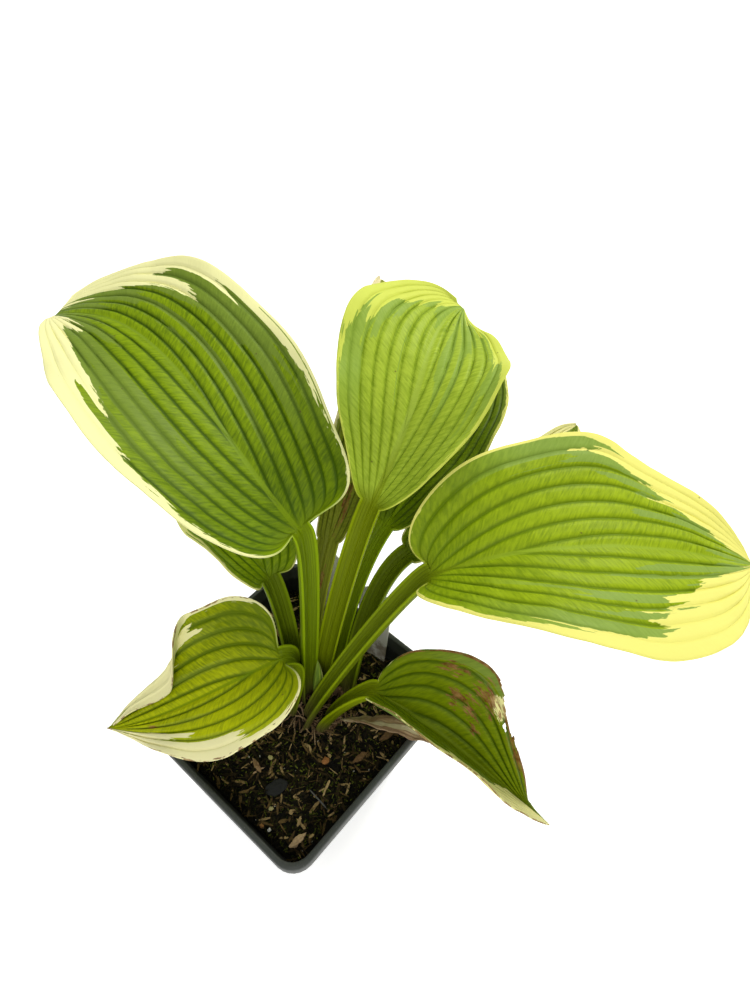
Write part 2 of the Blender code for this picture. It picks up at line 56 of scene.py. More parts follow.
# Leaves
STALK_START = 86.5
STALK_ROOT = 81.5  # the feet go down into the crown
UPRIGHT = 10.0
STALK_HALF_WIDTH = 6.8
STALK_EDGE_SLOPE = 82.0
STALK_OPENING = 0.05
STALK_SPREAD = 0.12
STALK_THICKNESS = 3.0
FOOT_NARROWING = 0.25
EDGE_THICKNESS = 0.5
LOBE_PLACE = 0.09
LOBE_SHAPE = 0.7
RIB_SHARE = 1 / 12
MARGIN_WAVE = 2.0
MARGIN_WAVES = 2.75
WAVE_START = 0.2
LAST_ROW = 0.995
SECTION_STEPS = 240
FLAP_GROWTH = 0.3
CREASE_WIDTH = 0.12
STALK_ROWS = 36
BLADE_ROWS = 110
HALF_COLUMNS = 60
VEIN_START = 0.34  # at the blade's base this share of the half width is already taken up by veins
VEIN_LEAVING = 0.25  # share of the blade over which they leave the midrib
RIB_HEIGHT = 0.9
QUILT_EDGE = 0.42
EDGE_WIDTH_ON_STALK = 0.07
HOLE_STRETCH = 1.6  # a hole reaches this much further across than along
SEED_SPACING = 37.0

# A leaf's shape, where it doesn't say otherwise
USUAL_LEAF = {"roll": (0, 0, 0), "vee": (25, 15, 5), "cup": (35, 20, 10)}
LEAVES = {
    "leaf_left_large": {
        "foot": (-1, 8), "junction": (-14, 28, 195), "tip": (-167, 28, 222), "approach": 8,
        "rise": (24, 32), "bow": (0, 26), "left": (52, 0.42, 0.62), "right": (46, 0.34, 0.3),
        "lobe": 7, "vee": (10, 7, 5), "cup": (45, 18, 10),
    },
    "leaf_centre_large": {
        "foot": (2, 16), "junction": (2, 57, 199), "tip": (-28, 152, 225), "approach": 28,
        "rise": (36, 22), "bow": (10, -8), "left": (38, 0.72, 0.55), "right": (35, 0.72, 0.85),
        "lobe": 0, "roll": (-10, 5, 20), "vee": (15, 5, 0),
    },
    "leaf_right_large": {
        "foot": (9, 0), "junction": (37, 52, 185), "tip": (132, 150, 176), "approach": 10,
        "rise": (34, 24), "bow": (2, 4), "left": (52, 0.7, 0.72), "right": (51, 0.92, 0.85),
        "lobe": 12, "vee": (15, 0, 0), "cup": (45, 18, 10),
    },
    "leaf_front_left": {
        "foot": (-3, -3), "junction": (-4, 1, 133), "tip": (-46, -69, 115), "approach": 12,
        "rise": (8, 3), "bow": (-4, -8), "left": (37, 0.55, 1.4), "right": (38, 0.5, 0.9),
        "lobe": 6, "vee": (15, 5, 0), "cup": (40, 15, 10),
        "flap": {"from": 0.32, "reach": 0.55, "fold": 168},
    },
    "leaf_front_right": {
        "foot": (17, 3), "junction": (35, 20, 122), "tip": (124, 36, 88), "approach": 4,
        "rise": (18, 16), "bow": (0, 4), "left": (42, 1.3, 2.6), "right": (23, 0.85, 1.0),
        "lobe": 4, "vee": (42, 50, 40), "cup": (20, 20, 10),
    },
    "leaf_rear_left": {
        "foot": (-9, 9), "junction": (-29, 19, 154), "tip": (-88, 16, 176), "approach": 16,
        "rise": (14, 14), "bow": (6, 6), "left": (24, 0.6, 0.9), "right": (24, 0.6, 0.9),
        "lobe": 4,
    },
    "leaf_rear_centre": {
        "foot": (-10, 19), "junction": (-16, 47, 166), "tip": (-89, 166, 204), "approach": 28,
        "rise": (20, 24), "bow": (8, 12), "left": (13, 0.65, 0.65), "right": (20, 0.65, 0.65),
        "lobe": 2,
    },
    "leaf_rear_right": {
        "foot": (3, 25), "junction": (-4, 72, 162), "tip": (-38, 186, 178), "approach": 28,
        "rise": (12, 10), "bow": (12, 18), "left": (24, 0.6, 0.9), "right": (24, 0.6, 0.9),
        "lobe": 2, "vee": (20, 15, 5),
    },
    "leaf_rear_far_right": {
        "foot": (15, 23), "junction": (12, 70, 155), "tip": (29, 182, 164), "approach": 20,
        "rise": (10, 10), "bow": (12, 16), "left": (20, 0.6, 0.8), "right": (20, 0.6, 0.8),
        "lobe": 2,
    },
}

# How each leaf is coloured. "left" and "right" give how much of the half width is cream at
# a quarter, half, three quarters and the whole of the blade's length, and "reach" how far its
# tongues go. Damage and holes are (lengthwise, across, radius).
# Three of these numbers paint light and shade into a leaf's colour: painted shade in the vein grooves,
# painted shade towards the blade's base, and painted light on the blade's left half.
USUAL_LOOK = {
    "line_depth": 1.0, "dark_base": 0.5, "left_lighter": 0.0, "rib_width": 0.8, "edge": 1.0,
    "dry_edge": 0.0, "damage": (), "holes": (),
}
LOOKS = {
    "leaf_left_large": {
        "veins": 8, "left": (0.08, 0.14, 0.42, 0.8), "right": (0.03, 0.06, 0.34, 0.8), "reach": 0.7,
        "deep": (0.05, 0.10, 0.001), "bright": (0.23, 0.34, 0.002), "grey": (0.18, 0.26, 0.035),
        "dark_base": 0.9,
        "cream": (0.90, 0.88, 0.43), "greying": 0.30, "grey_strength": 0.8,
        "stalk": (0.19, 0.28, 0.001), "midrib": (0.20, 0.30, 0.02), "rib_width": 1.0,
    },
    "leaf_centre_large": {
        "veins": 7, "left": (0.03, 0.05, 0.36, 0.85), "right": (0.03, 0.13, 0.26, 0.6), "reach": 0.6,
        "deep": (0.17, 0.27, 0.008), "bright": (0.40, 0.53, 0.04), "grey": (0.24, 0.37, 0.055),
        "line_depth": 0.5, "dark_base": 0.15,
        "cream": (0.62, 0.69, 0.10), "greying": 0.28, "grey_strength": 0.7,
        "stalk": (0.20, 0.26, 0.001), "midrib": (0.34, 0.46, 0.05), "rib_width": 1.6, "edge": 0.6,
    },
    "leaf_right_large": {
        "veins": 7, "left": (0.02, 0.03, 0.36, 0.9), "right": (0.06, 0.26, 0.58, 0.95), "reach": 0.65,
        "deep": (0.13, 0.21, 0.001), "bright": (0.34, 0.46, 0.008), "grey": (0.24, 0.36, 0.07),
        "line_depth": 0.9, "dark_base": 0.8,
        "cream": (0.84, 0.80, 0.20), "greying": 0.26, "grey_strength": 0.8,
        "stalk": (0.17, 0.23, 0.001), "midrib": (0.28, 0.40, 0.02), "rib_width": 1.0,
    },
    "leaf_front_left": {
        "veins": 6, "left": (0.10, 0.30, 0.48, 0.35), "right": (0.06, 0.26, 0.5, 0.3), "reach": 0.8,
        "deep": (0.12, 0.18, 0.001), "bright": (0.50, 0.56, 0.002), "grey": (0.34, 0.42, 0.06),
        "dark_base": 0.95, "left_lighter": 0.3,
        "cream": (0.96, 0.91, 0.50), "greying": 0.05, "grey_strength": 0.25,
        "stalk": (0.17, 0.24, 0.001), "midrib": (0.16, 0.25, 0.001),
        "damage": ((0.74, -0.30, 0.04), (0.995, 0.0, 0.04)), "dry_edge": 0.8,
    },
    "leaf_front_right": {
        "veins": 6, "left": (-0.1, -0.1, -0.1, -0.1), "right": (0.04, 0.22, 0.95, 1.4), "reach": 0.3,
        "deep": (0.07, 0.12, 0.001), "bright": (0.20, 0.27, 0.001), "grey": (0.22, 0.31, 0.07),
        "line_depth": 0.9, "dark_base": 0.2,
        "cream": (0.88, 0.84, 0.36), "greying": 0.10, "grey_strength": 0.5,
        "stalk": (0.20, 0.26, 0.001), "midrib": (0.20, 0.27, 0.01), "edge": 0.0,
        "damage": ((0.55, -0.95, 0.11), (0.44, -0.75, 0.09), (0.36, -0.50, 0.08), (0.28, -0.8, 0.06),
                   (0.66, -0.95, 0.09), (0.46, -0.35, 0.05)),
        "holes": ((0.53, -1.0, 0.065), (0.45, -1.03, 0.04), (0.62, -1.02, 0.035), (0.545, -0.80, 0.016)),
        "dry_edge": 1.0, "bleached": (0.48, -0.82, 0.050),
    },
    "leaf_rear_left": {
        "veins": 6, "left": (0.05, 0.08, 0.2, 0.5), "right": (0.05, 0.10, 0.25, 0.5), "reach": 0.3,
        "deep": (0.09, 0.16, 0.001), "bright": (0.27, 0.38, 0.004), "grey": (0.22, 0.33, 0.05),
        "cream": (0.80, 0.78, 0.30), "greying": 0.1, "grey_strength": 0.6,
        "stalk": (0.14, 0.20, 0.002), "midrib": (0.2, 0.3, 0.01),
    },
    "leaf_rear_centre": {
        "veins": 5, "left": (0.05, 0.10, 0.3, 0.8), "right": (0.05, 0.10, 0.3, 0.8), "reach": 0.3,
        "deep": (0.12, 0.14, 0.006), "bright": (0.30, 0.34, 0.03), "grey": (0.26, 0.30, 0.06),
        "cream": (0.86, 0.76, 0.44), "greying": 0.2, "grey_strength": 0.8,
        "stalk": (0.24, 0.27, 0.02), "midrib": (0.3, 0.3, 0.06),
        "damage": ((0.93, 0.4, 0.10), (0.85, 0.8, 0.1), (-0.2, 0.2, 0.10), (-0.45, -0.3, 0.10),
                   (0.1, 0.3, 0.1)),
        "dry_edge": 0.6,
    },
    "leaf_rear_right": {
        "veins": 6, "left": (0.02, 0.03, 0.06, 0.3), "right": (0.02, 0.03, 0.06, 0.3), "reach": 0.2,
        "deep": (0.05, 0.09, 0.001), "bright": (0.14, 0.21, 0.001), "grey": (0.12, 0.18, 0.02),
        "cream": (0.66, 0.66, 0.16), "greying": 0.0, "grey_strength": 0.4,
        "stalk": (0.19, 0.28, 0.001), "midrib": (0.16, 0.24, 0.004), "edge": 0.5,
    },
    "leaf_rear_far_right": {
        "veins": 5, "left": (0.06, 0.10, 0.3, 0.7), "right": (0.06, 0.10, 0.3, 0.7), "reach": 0.3,
        "deep": (0.06, 0.11, 0.001), "bright": (0.18, 0.26, 0.002), "grey": (0.17, 0.25, 0.04),
        "cream": (0.80, 0.76, 0.32), "greying": 0.1, "grey_strength": 0.6,
        "stalk": (0.13, 0.18, 0.002), "midrib": (0.18, 0.25, 0.004),
    },
}

# Pot and mix
POT_HEIGHT = 100.0
RIM_HALF = 57.0
RIM_FLANGE = 1.7
RIM_DEPTH = 8.0
RIM_ROUNDING = 1.0
BASE_HALF = 39.0
WALL = 1.2
CORNER_RADIUS = 9.0
FLOOR_THICKNESS = 1.6
DRAIN_RADIUS = 5.0
DRAIN_OFFSET = 23.0
DRILL_SIDES = 32
DRILL_ENDS = (-2.0, 4.0)  # below and above the floor
SOIL_LEVEL = 84.0
SOIL_WAVE = 0.7
MIX_HALF = 51.5  # half the mix's width at its top
MIX_SIDES_BELOW = 70.0
CROWN_CENTRE = (4.0, 11.0)
CROWN_RADIUS = 19.0
CROWN_TOP = 86.4
CROWN_DEPTH = 9.0

# Small pieces
SHOOT_FOOT = (6.5, 10.0, STALK_START)
SHOOT_LEAN = (-4.0, 6.0, 30.0)
SHOOT_RADIUS = 2.9
SHOOT_TURNS = 1.3
STUB_CENTRE = (12.0, 15.5)
STUB_HEIGHT = 9.0
STUB_OUTER = 4.2
STUB_INNER = 2.9
WITHERED_ROUTE = ((23, 10, 89), (34, 15, 97), (56, 22, 113), (78, 34, 101))
WITHERED_HALF_WIDTH = 7.0
WITHERED_HALF_THICKNESS = 0.22
LUMP_SINKING = 0.8


# ---- Node trees ----

class Value:
    """A changing number in a node tree; arithmetic on it adds Math nodes."""

    def __init__(self, bench, socket):
        self.bench = bench
        self.socket = socket

    def maths(self, operation, *others):
        return self.bench.sum_of(operation, self, *others)

    def __add__(self, other):
        return self.maths("ADD", other)

    def __sub__(self, other):
        return self.maths("SUBTRACT", other)

    def __mul__(self, other):
        return self.maths("MULTIPLY", other)

    def __rsub__(self, other):
        return self.bench.sum_of("SUBTRACT", other, self)

    __radd__ = __add__
    __rmul__ = __mul__

    def size(self):
        return self.maths("ABSOLUTE")

    def step(self, low, high):
        """0 up to low, 1 from high on, and a smooth rise between them; low may be above high."""
        return self.bench.node("ShaderNodeMapRange", {"interpolation_type": "SMOOTHSTEP"},
                               {"Value": self, "From Min": low, "From Max": high})


class Bench:
    """A node tree being put together."""

    def __init__(self, tree):
        self.tree = tree

    def node(self, kind, settings=None, inputs=None, output=0):
        """Adds a node: its settings first, then its sockets' values or links. Gives one output."""
        made = self.tree.nodes.new(kind)
        for key, setting in (settings or {}).items():
            if key == "stops":
                ramp = made.color_ramp
                while len(ramp.elements) < len(setting):
                    ramp.elements.new(0.5)
                for element, (place, colour) in zip(ramp.elements, setting):
                    element.position = place
                    element.color = (*colour, 1.0)
            else:
                setattr(made, key, setting)
        for key, given in (inputs or {}).items():
            if isinstance(given, Value):
                self.tree.links.new(given.socket, made.inputs[key])
            else:
                made.inputs[key].default_value = given
        return Value(self, made.outputs[output]) if len(made.outputs) else None

    def sum_of(self, operation, *terms):
        return self.node("ShaderNodeMath", {"operation": operation}, dict(enumerate(terms)))


SOCKETS = {
    "base_color": "Base Color", "roughness": "Roughness", "normal": "Normal",
    "gleam": "Specular IOR Level", "glow": "Emission Strength", "glow_colour": "Emission Color",
}


class Finish(Bench):
    """A material: a Principled shader whose changing values are fed by nodes."""

    def __init__(self, name, **constants):
        self.material = bpy.data.materials.new(name)
        self.material.use_nodes = True
        super().__init__(self.material.node_tree)
        self.shader = self.tree.nodes["Principled BSDF"]
        for key, constant in constants.items():
            self.shader.inputs[SOCKETS[key]].default_value = constant

    def feed(self, **values):
        for key, given in values.items():
            self.tree.links.new(given.socket, self.shader.inputs[SOCKETS[key]])
        return self.material

    def attribute(self, name, output="Fac"):
        return self.node("ShaderNodeAttribute", {"attribute_name": name}, output=output)

    def place(self):
        return self.node("ShaderNodeTexCoord", output="Object")

    def part(self, vector, axis):
        """One of a vector's three numbers."""
        return self.node("ShaderNodeSeparateXYZ", None, {0: vector}, axis)

    def noise(self, place, scale=1.0, detail=2.0, roughness=0.5):
        return self.node("ShaderNodeTexNoise", None,
                         {"Vector": place, "Scale": scale, "Detail": detail, "Roughness": roughness})

    def drift(self, x, y, z, detail=2.0, roughness=0.5):
        """Noise read at a place made of three changing numbers."""
        place = self.node("ShaderNodeCombineXYZ", None, {0: x, 1: y, 2: z})
        return self.noise(place, 1.0, detail, roughness)

    def mix(self, share, first, second):
        """The first colour, turning into the second as share goes from 0 to 1."""
        inputs = {0: share}
        for key, colour in ((6, first), (7, second)):
            inputs[key] = colour if isinstance(colour, Value) else (*colour, 1.0)
        return self.node("ShaderNodeMix", {"data_type": "RGBA"}, inputs, 2)

    def ramp(self, share, stops):
        return self.node("ShaderNodeValToRGB", {"stops": stops}, {"Fac": share})

    def bump(self, height, distance, strength=1.0):
        return self.node("ShaderNodeBump", None,
                         {"Height": height, "Distance": distance, "Strength": strength})


# ---- Meshes ----

def mesh_piece(name, points, faces, finish, attributes=None, smooth=True):
    """A piece whose points are given in millimetres, with a number or a vector for each point."""
    mesh = bpy.data.meshes.new(name)
    mesh.from_pydata((np.asarray(points, float) * MM).tolist(), [], faces)
    mesh.materials.append(finish)
    for key, values in (attributes or {}).items():
        if np.ndim(values) == 2:
            vectors = np.asarray(values, np.float32).ravel()
            mesh.attributes.new(key, "FLOAT_VECTOR", "POINT").data.foreach_set("vector", vectors)
        else:
            set_number(mesh, key, values)
    mesh.polygons.foreach_set("use_smooth", np.full(len(mesh.polygons), smooth))
    mesh.update()
    piece = bpy.data.objects.new(name, mesh)
    bpy.context.scene.collection.objects.link(piece)
    return piece


def set_number(mesh, name, value):
    """Gives a mesh's points one number, or a number each."""
    found = mesh.attributes.get(name) or mesh.attributes.new(name, "FLOAT", "POINT")
    found.data.foreach_set("value", np.full(len(mesh.vertices), value, np.float32))


def hand_in(piece, node):
    """The piece stands for a CAD node: it is attached to the root body and the CAD part is hidden."""
    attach(piece, "root")
    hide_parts(node)
    return piece


def made_plain(piece):
    """The piece's mesh with its modifiers carried out."""
    bpy.context.view_layer.update()
    graph = bpy.context.evaluated_depsgraph_get()
    mesh = bpy.data.meshes.new_from_object(piece.evaluated_get(graph))
    piece.modifiers.clear()
    piece.data = mesh
    return piece


def ease(value):
    value = np.clip(value, 0, 1)
    return value * value * (3 - 2 * value)


def summed(values):
    steps = (values[:, 1:] + values[:, :-1]) / 2 / (values.shape[1] - 1)
    return np.concatenate([np.zeros((len(values), 1)), np.cumsum(steps, axis=1)], axis=1)


def unit(vectors):
    vectors = np.asarray(vectors, float)
    return vectors / np.maximum(np.linalg.norm(vectors, axis=-1, keepdims=True), 1e-9)


def bezier(control, share):
    start, first, second, end = (np.asarray(point, float) for point in control)
    u = np.asarray(share, float)[:, None]
    v = 1 - u
    points = v**3 * start + 3 * v**2 * u * first + 3 * v * u**2 * second + u**3 * end
    slopes = v**2 * (first - start) + 2 * v * u * (second - first) + u**2 * (end - second)
    return points, unit(slopes)


def through_three(values, share):
    base, middle, tip = values
    ends = base * (1 - share) * (1 - 2 * share) + tip * share * (2 * share - 1)
    return ends + 4 * middle * share * (1 - share)


def rolling(places, size, seed):
    """Smooth random heights from -1 to 1 over places, with lumps of about that size."""
    listed = np.asarray(places, float).reshape(-1, np.shape(places)[-1]) / size
    if listed.shape[1] == 2:
        listed = np.column_stack([listed, np.zeros(len(listed))])
    listed = listed + np.array([seed, -seed, 0.37 * seed])
    heights = [hills.noise(place) for place in listed.tolist()]
    return np.array(heights).reshape(np.shape(places)[:-1])


def tube_faces(rows, around, closed_ends=True):
    faces = []
    for row in range(rows - 1):
        for step in range(around):
            following = (step + 1) % around
            faces.append((row * around + step, row * around + following,
                          (row + 1) * around + following, (row + 1) * around + step))
    if closed_ends:
        faces.append(tuple(range(around))[::-1])
        faces.append(tuple((rows - 1) * around + step for step in range(around)))
    return faces


def plate(upper, lower, kept):
    """Points and faces of a sheet with a thickness: kept says which cells of the grid are there."""
    rows, columns = upper.shape[:2]
    count = rows * columns
    index = np.arange(count).reshape(rows, columns)
    a, b = index[:-1, :-1], index[:-1, 1:]
    c, d = index[1:, 1:], index[1:, :-1]
    top = np.stack([a, b, c, d], axis=-1)[kept]
    faces = [top, top[:, ::-1] + count]
    around = np.pad(kept, 1)
    sides = ((around[:-2, 1:-1], a, b), (around[1:-1, 2:], b, c),
             (around[2:, 1:-1], c, d), (around[1:-1, :-2], d, a))
    for neighbour, first, second in sides:
        border = kept & ~neighbour
        start, end = first[border], second[border]
        faces.append(np.stack([end, start, start + count, end + count], axis=-1))
    faces = np.concatenate(faces)
    points = np.concatenate([upper.reshape(-1, 3), lower.reshape(-1, 3)])
    used = np.unique(faces)
    renumbered = np.zeros(len(points), int)
    renumbered[used] = np.arange(len(used))
    return points[used], renumbered[faces].tolist(), used


def on_both_faces(fields, shape, used):
    """Numbers given for a sheet's rows and columns, handed to the points of its two faces."""
    return {key: np.tile(np.broadcast_to(values, shape).ravel(), 2)[used] for key, values in fields.items()}


# ---- Leaves ----

def leaf_frames(leaf, lengthwise):
    """The centre line with its side and upper directions."""
    junction = np.array(leaf["junction"], float)
    tip = np.array(leaf["tip"], float)
    foot = np.array([*leaf["foot"], STALK_ROOT])
    upright = np.array([*leaf["foot"], STALK_START + UPRIGHT])
    run = tip - junction
    heading = unit([run[0], run[1], 0.0])
    beside = np.array([heading[1], -heading[0], 0.0])
    up = np.array([0.0, 0.0, 1.0])
    first = junction + run / 3 + leaf["rise"][0] * up + leaf["bow"][0] * beside
    second = junction + run * 2 / 3 + leaf["rise"][1] * up + leaf["bow"][1] * beside
    approach = junction - unit(first - junction) * leaf["approach"]
    stalk_points, stalk_along = bezier((foot, upright, approach, junction), np.clip(lengthwise + 1, 0, 1))
    rib_points, rib_along = bezier((junction, first, second, tip), np.clip(lengthwise, 0, 1))
    on_blade = (lengthwise > 0)[:, None]
    points = np.where(on_blade, rib_points, stalk_points)
    along = np.where(on_blade, rib_along, stalk_along)
    side = unit(beside - (along @ beside)[:, None] * along)
    face = np.cross(side, along)
    share = np.clip(lengthwise, 0, 1)
    turn = np.radians(through_three(leaf["roll"], share) * np.clip(1 + lengthwise, 0, 1))[:, None]
    turned_side = side * np.cos(turn) - face * np.sin(turn)
    turned_face = face * np.cos(turn) + side * np.sin(turn)
    return points, along, turned_side, turned_face


def blade_width(side, share):
    """One side's width from the midrib to the margin."""
    greatest, rise, fall = side
    widest = rise / (rise + fall)
    return greatest * (share / widest) ** rise * ((1 - share) / (1 - widest)) ** fall


def leaf_widths(leaf, lengthwise, across):
    """The half width at each row and column: the stalk's, opening out into the blade's."""
    share = np.clip(lengthwise, 0, 1)
    narrowing = 1 - FOOT_NARROWING * np.clip(-lengthwise, 0, 1) ** 3
    stalk = STALK_HALF_WIDTH * np.exp(-share / STALK_SPREAD) * narrowing
    left = stalk + blade_width(leaf["left"], share)
    right = stalk + blade_width(leaf["right"], share)
    return np.where(across[None, :] > 0, right[:, None], left[:, None])


def cross_section(leaf, share, across):
    """Sideways and upward places for a half width of 1: the slope is added up from the midrib."""
    reach = np.linspace(0, 1, SECTION_STEPS + 1)
    groove = np.exp(-share / STALK_OPENING)
    vee = np.radians(through_three(leaf["vee"], share)) * (1 - groove)
    cup = np.radians(through_three(leaf["cup"], share)) * (1 - groove)
    cup += math.radians(STALK_EDGE_SLOPE) * groove
    slope = vee[:, None] * np.clip(reach / RIB_SHARE, 0, 1) + cup[:, None] * reach
    folded = slope.copy()
    if "flap" in leaf:
        flap = leaf["flap"]
        grown = ease((share - flap["from"]) / FLAP_GROWTH)
        crease = 1 - (1 - flap["reach"]) * grown
        turned = ease((reach - crease[:, None]) / CREASE_WIDTH)
        folded += math.radians(flap["fold"]) * grown[:, None] * turned
    places = np.rint(np.abs(across) * SECTION_STEPS).astype(int)
    right = (across > 0)[None, :]
    sideways = np.where(right, summed(np.cos(folded))[:, places], -summed(np.cos(slope))[:, places])
    upward = np.where(right, summed(np.sin(folded))[:, places], summed(np.sin(slope))[:, places])
    return sideways, upward


def leaf_surface(leaf, lengthwise, across):
    """The middle surface and its upper direction on a grid of rows and columns."""
    points, along, side, face = leaf_frames(leaf, lengthwise)
    share = np.clip(lengthwise, 0, 1)
    width = leaf_widths(leaf, lengthwise, across)
    x, z = cross_section(leaf, share, across)
    lobe = (share / LOBE_PLACE * np.exp(1 - share / LOBE_PLACE)) ** LOBE_SHAPE
    pull = leaf["lobe"] * lobe[:, None] * across[None, :] ** 2
    wave = MARGIN_WAVE * np.sin(2 * math.pi * MARGIN_WAVES * share + leaf["left"][0])
    wave = wave * np.clip(share / WAVE_START, 0, 1)
    z = z * width + wave[:, None] * across[None, :] ** 3
    middle = points[:, None] + side[:, None] * (x * width)[..., None] + face[:, None] * z[..., None]
    middle = middle - along[:, None] * pull[..., None]
    return middle, unit(np.cross(np.gradient(middle, axis=1), np.gradient(middle, axis=0)))


def raised(leaf_middle, normal, vein, share, size, seed):
    """The blade puffed up between its veins and gently crumpled."""
    from_rib = 1 - np.exp(-((size / 0.05) ** 2))
    puff = (1 - np.exp(-((np.sin(math.pi * vein) / QUILT_EDGE) ** 2))) * from_rib
    fade = ease(share / 0.15) * ease((1 - share) / 0.2) * (1 - 0.8 * size**6)
    pucker = rolling(leaf_middle, 22.0, seed) * 1.3 + rolling(leaf_middle, 7.0, seed + 5) * 0.35
    lift = RIB_HEIGHT * (puff - 0.6) * fade + pucker * ease(share / 0.2) * (0.4 + 0.6 * size)
    return leaf_middle + normal * lift[..., None]


def whole_cells(lengthwise, across, holes):
    """Which cells of the sheet are left beside its ragged holes."""
    kept = np.ones((len(lengthwise) - 1, len(across) - 1), bool)
    rows = (lengthwise[:-1] + lengthwise[1:])[:, None] / 2
    columns = (across[:-1] + across[1:])[None, :] / 2
    ragged = 1 + 0.35 * np.sin(63 * rows) * np.cos(23 * columns)
    for place, beside, radius in holes:
        off = ((rows - place) / radius) ** 2 + ((columns - beside) / (radius * HOLE_STRETCH)) ** 2
        kept &= off > ragged
    return kept


def spot(lengthwise, across, place, beside, along, sideways):
    """1 at a spot on the leaf, falling off round it over these two distances."""
    off = ((lengthwise[:, None] - place) / along) ** 2 + ((across[None, :] - beside) / sideways) ** 2
    return np.exp(-off)


def cream_margin(look, lengthwise, across):
    """How far each point lies past the line where the cream begins, as a share of the half width."""
    stops = (0.0, 0.25, 0.5, 0.75, 1.0)
    share = np.clip(lengthwise, 0, 1)[:, None]
    left = np.interp(share, stops, (0.02, *look["left"]))
    right = np.interp(share, stops, (0.02, *look["right"]))
    size = np.abs(across)[None, :]
    margin = size - (1 - np.where(across[None, :] > 0, right, left))
    return np.where(lengthwise[:, None] < 0, size - 1 + EDGE_WIDTH_ON_STALK, margin)


def make_leaf(name, leaf, look, seed):
    stalk = np.linspace(-1, 0, STALK_ROWS, endpoint=False)
    blade = (1 - np.cos(np.linspace(0, math.pi, BLADE_ROWS))) / 2 * LAST_ROW
    lengthwise = np.concatenate([stalk, blade])
    across = np.linspace(-1, 1, 2 * HALF_COLUMNS + 1)
    share = np.clip(lengthwise, 0, 1)[:, None]
    size = np.abs(across)[None, :]
    vein = (size + VEIN_START * (1 - size) * np.exp(-share / VEIN_LEAVING)) * look["veins"]
    middle, normal = leaf_surface(leaf, lengthwise, across)
    middle = raised(middle, normal, vein, share, size, seed)

    thick = EDGE_THICKNESS + (STALK_THICKNESS - EDGE_THICKNESS) * np.exp(-share * 5) * (1 - size**1.5)
    thick = thick + 0.8 * np.exp(-((size / 0.03) ** 2)) * (1 - share)
    half = 0.5 * thick[..., None] * normal
    kept = whole_cells(lengthwise, across, look["holes"])
    points, faces, used = plate(middle + half, middle - half, kept)

    steps = np.linalg.norm(np.diff(middle[:, HALF_COLUMNS], axis=0), axis=1)
    travelled = np.concatenate([[0], np.cumsum(steps)])[:, None]
    shape = vein.shape
    damage = np.zeros(shape)
    for place, beside, radius in look["damage"]:
        damage = np.maximum(damage, spot(lengthwise, across, place, beside, radius, radius * 2))
    bleached = np.zeros(shape)
    if "bleached" in look:
        place, beside, radius = look["bleached"]
        bleached = spot(lengthwise, across, place, beside, radius, radius * 2.5)
    fields = {
        "bleached": bleached, "lengthwise": lengthwise[:, None], "across": across[None, :], "vein": vein,
        "margin": cream_margin(look, lengthwise, across), "damage": damage,
    }
    attributes = on_both_faces(fields, shape, used)
    beside_rib = across[None, :] * leaf_widths(leaf, lengthwise, across)
    apart = np.full(shape, seed * SEED_SPACING)
    sheet = np.stack([np.broadcast_to(travelled, shape), beside_rib, apart], axis=-1)
    attributes["sheet"] = np.tile(sheet.reshape(-1, 3), (2, 1))[used]
    attributes["upper"] = (used < shape[0] * shape[1]).astype(float)
    piece = mesh_piece(name + "_sheet", points, faces, leaf_finish(name, look, seed), attributes)
    piece.data.set_sharp_from_angle(angle=math.radians(60))
    return hand_in(piece, name)


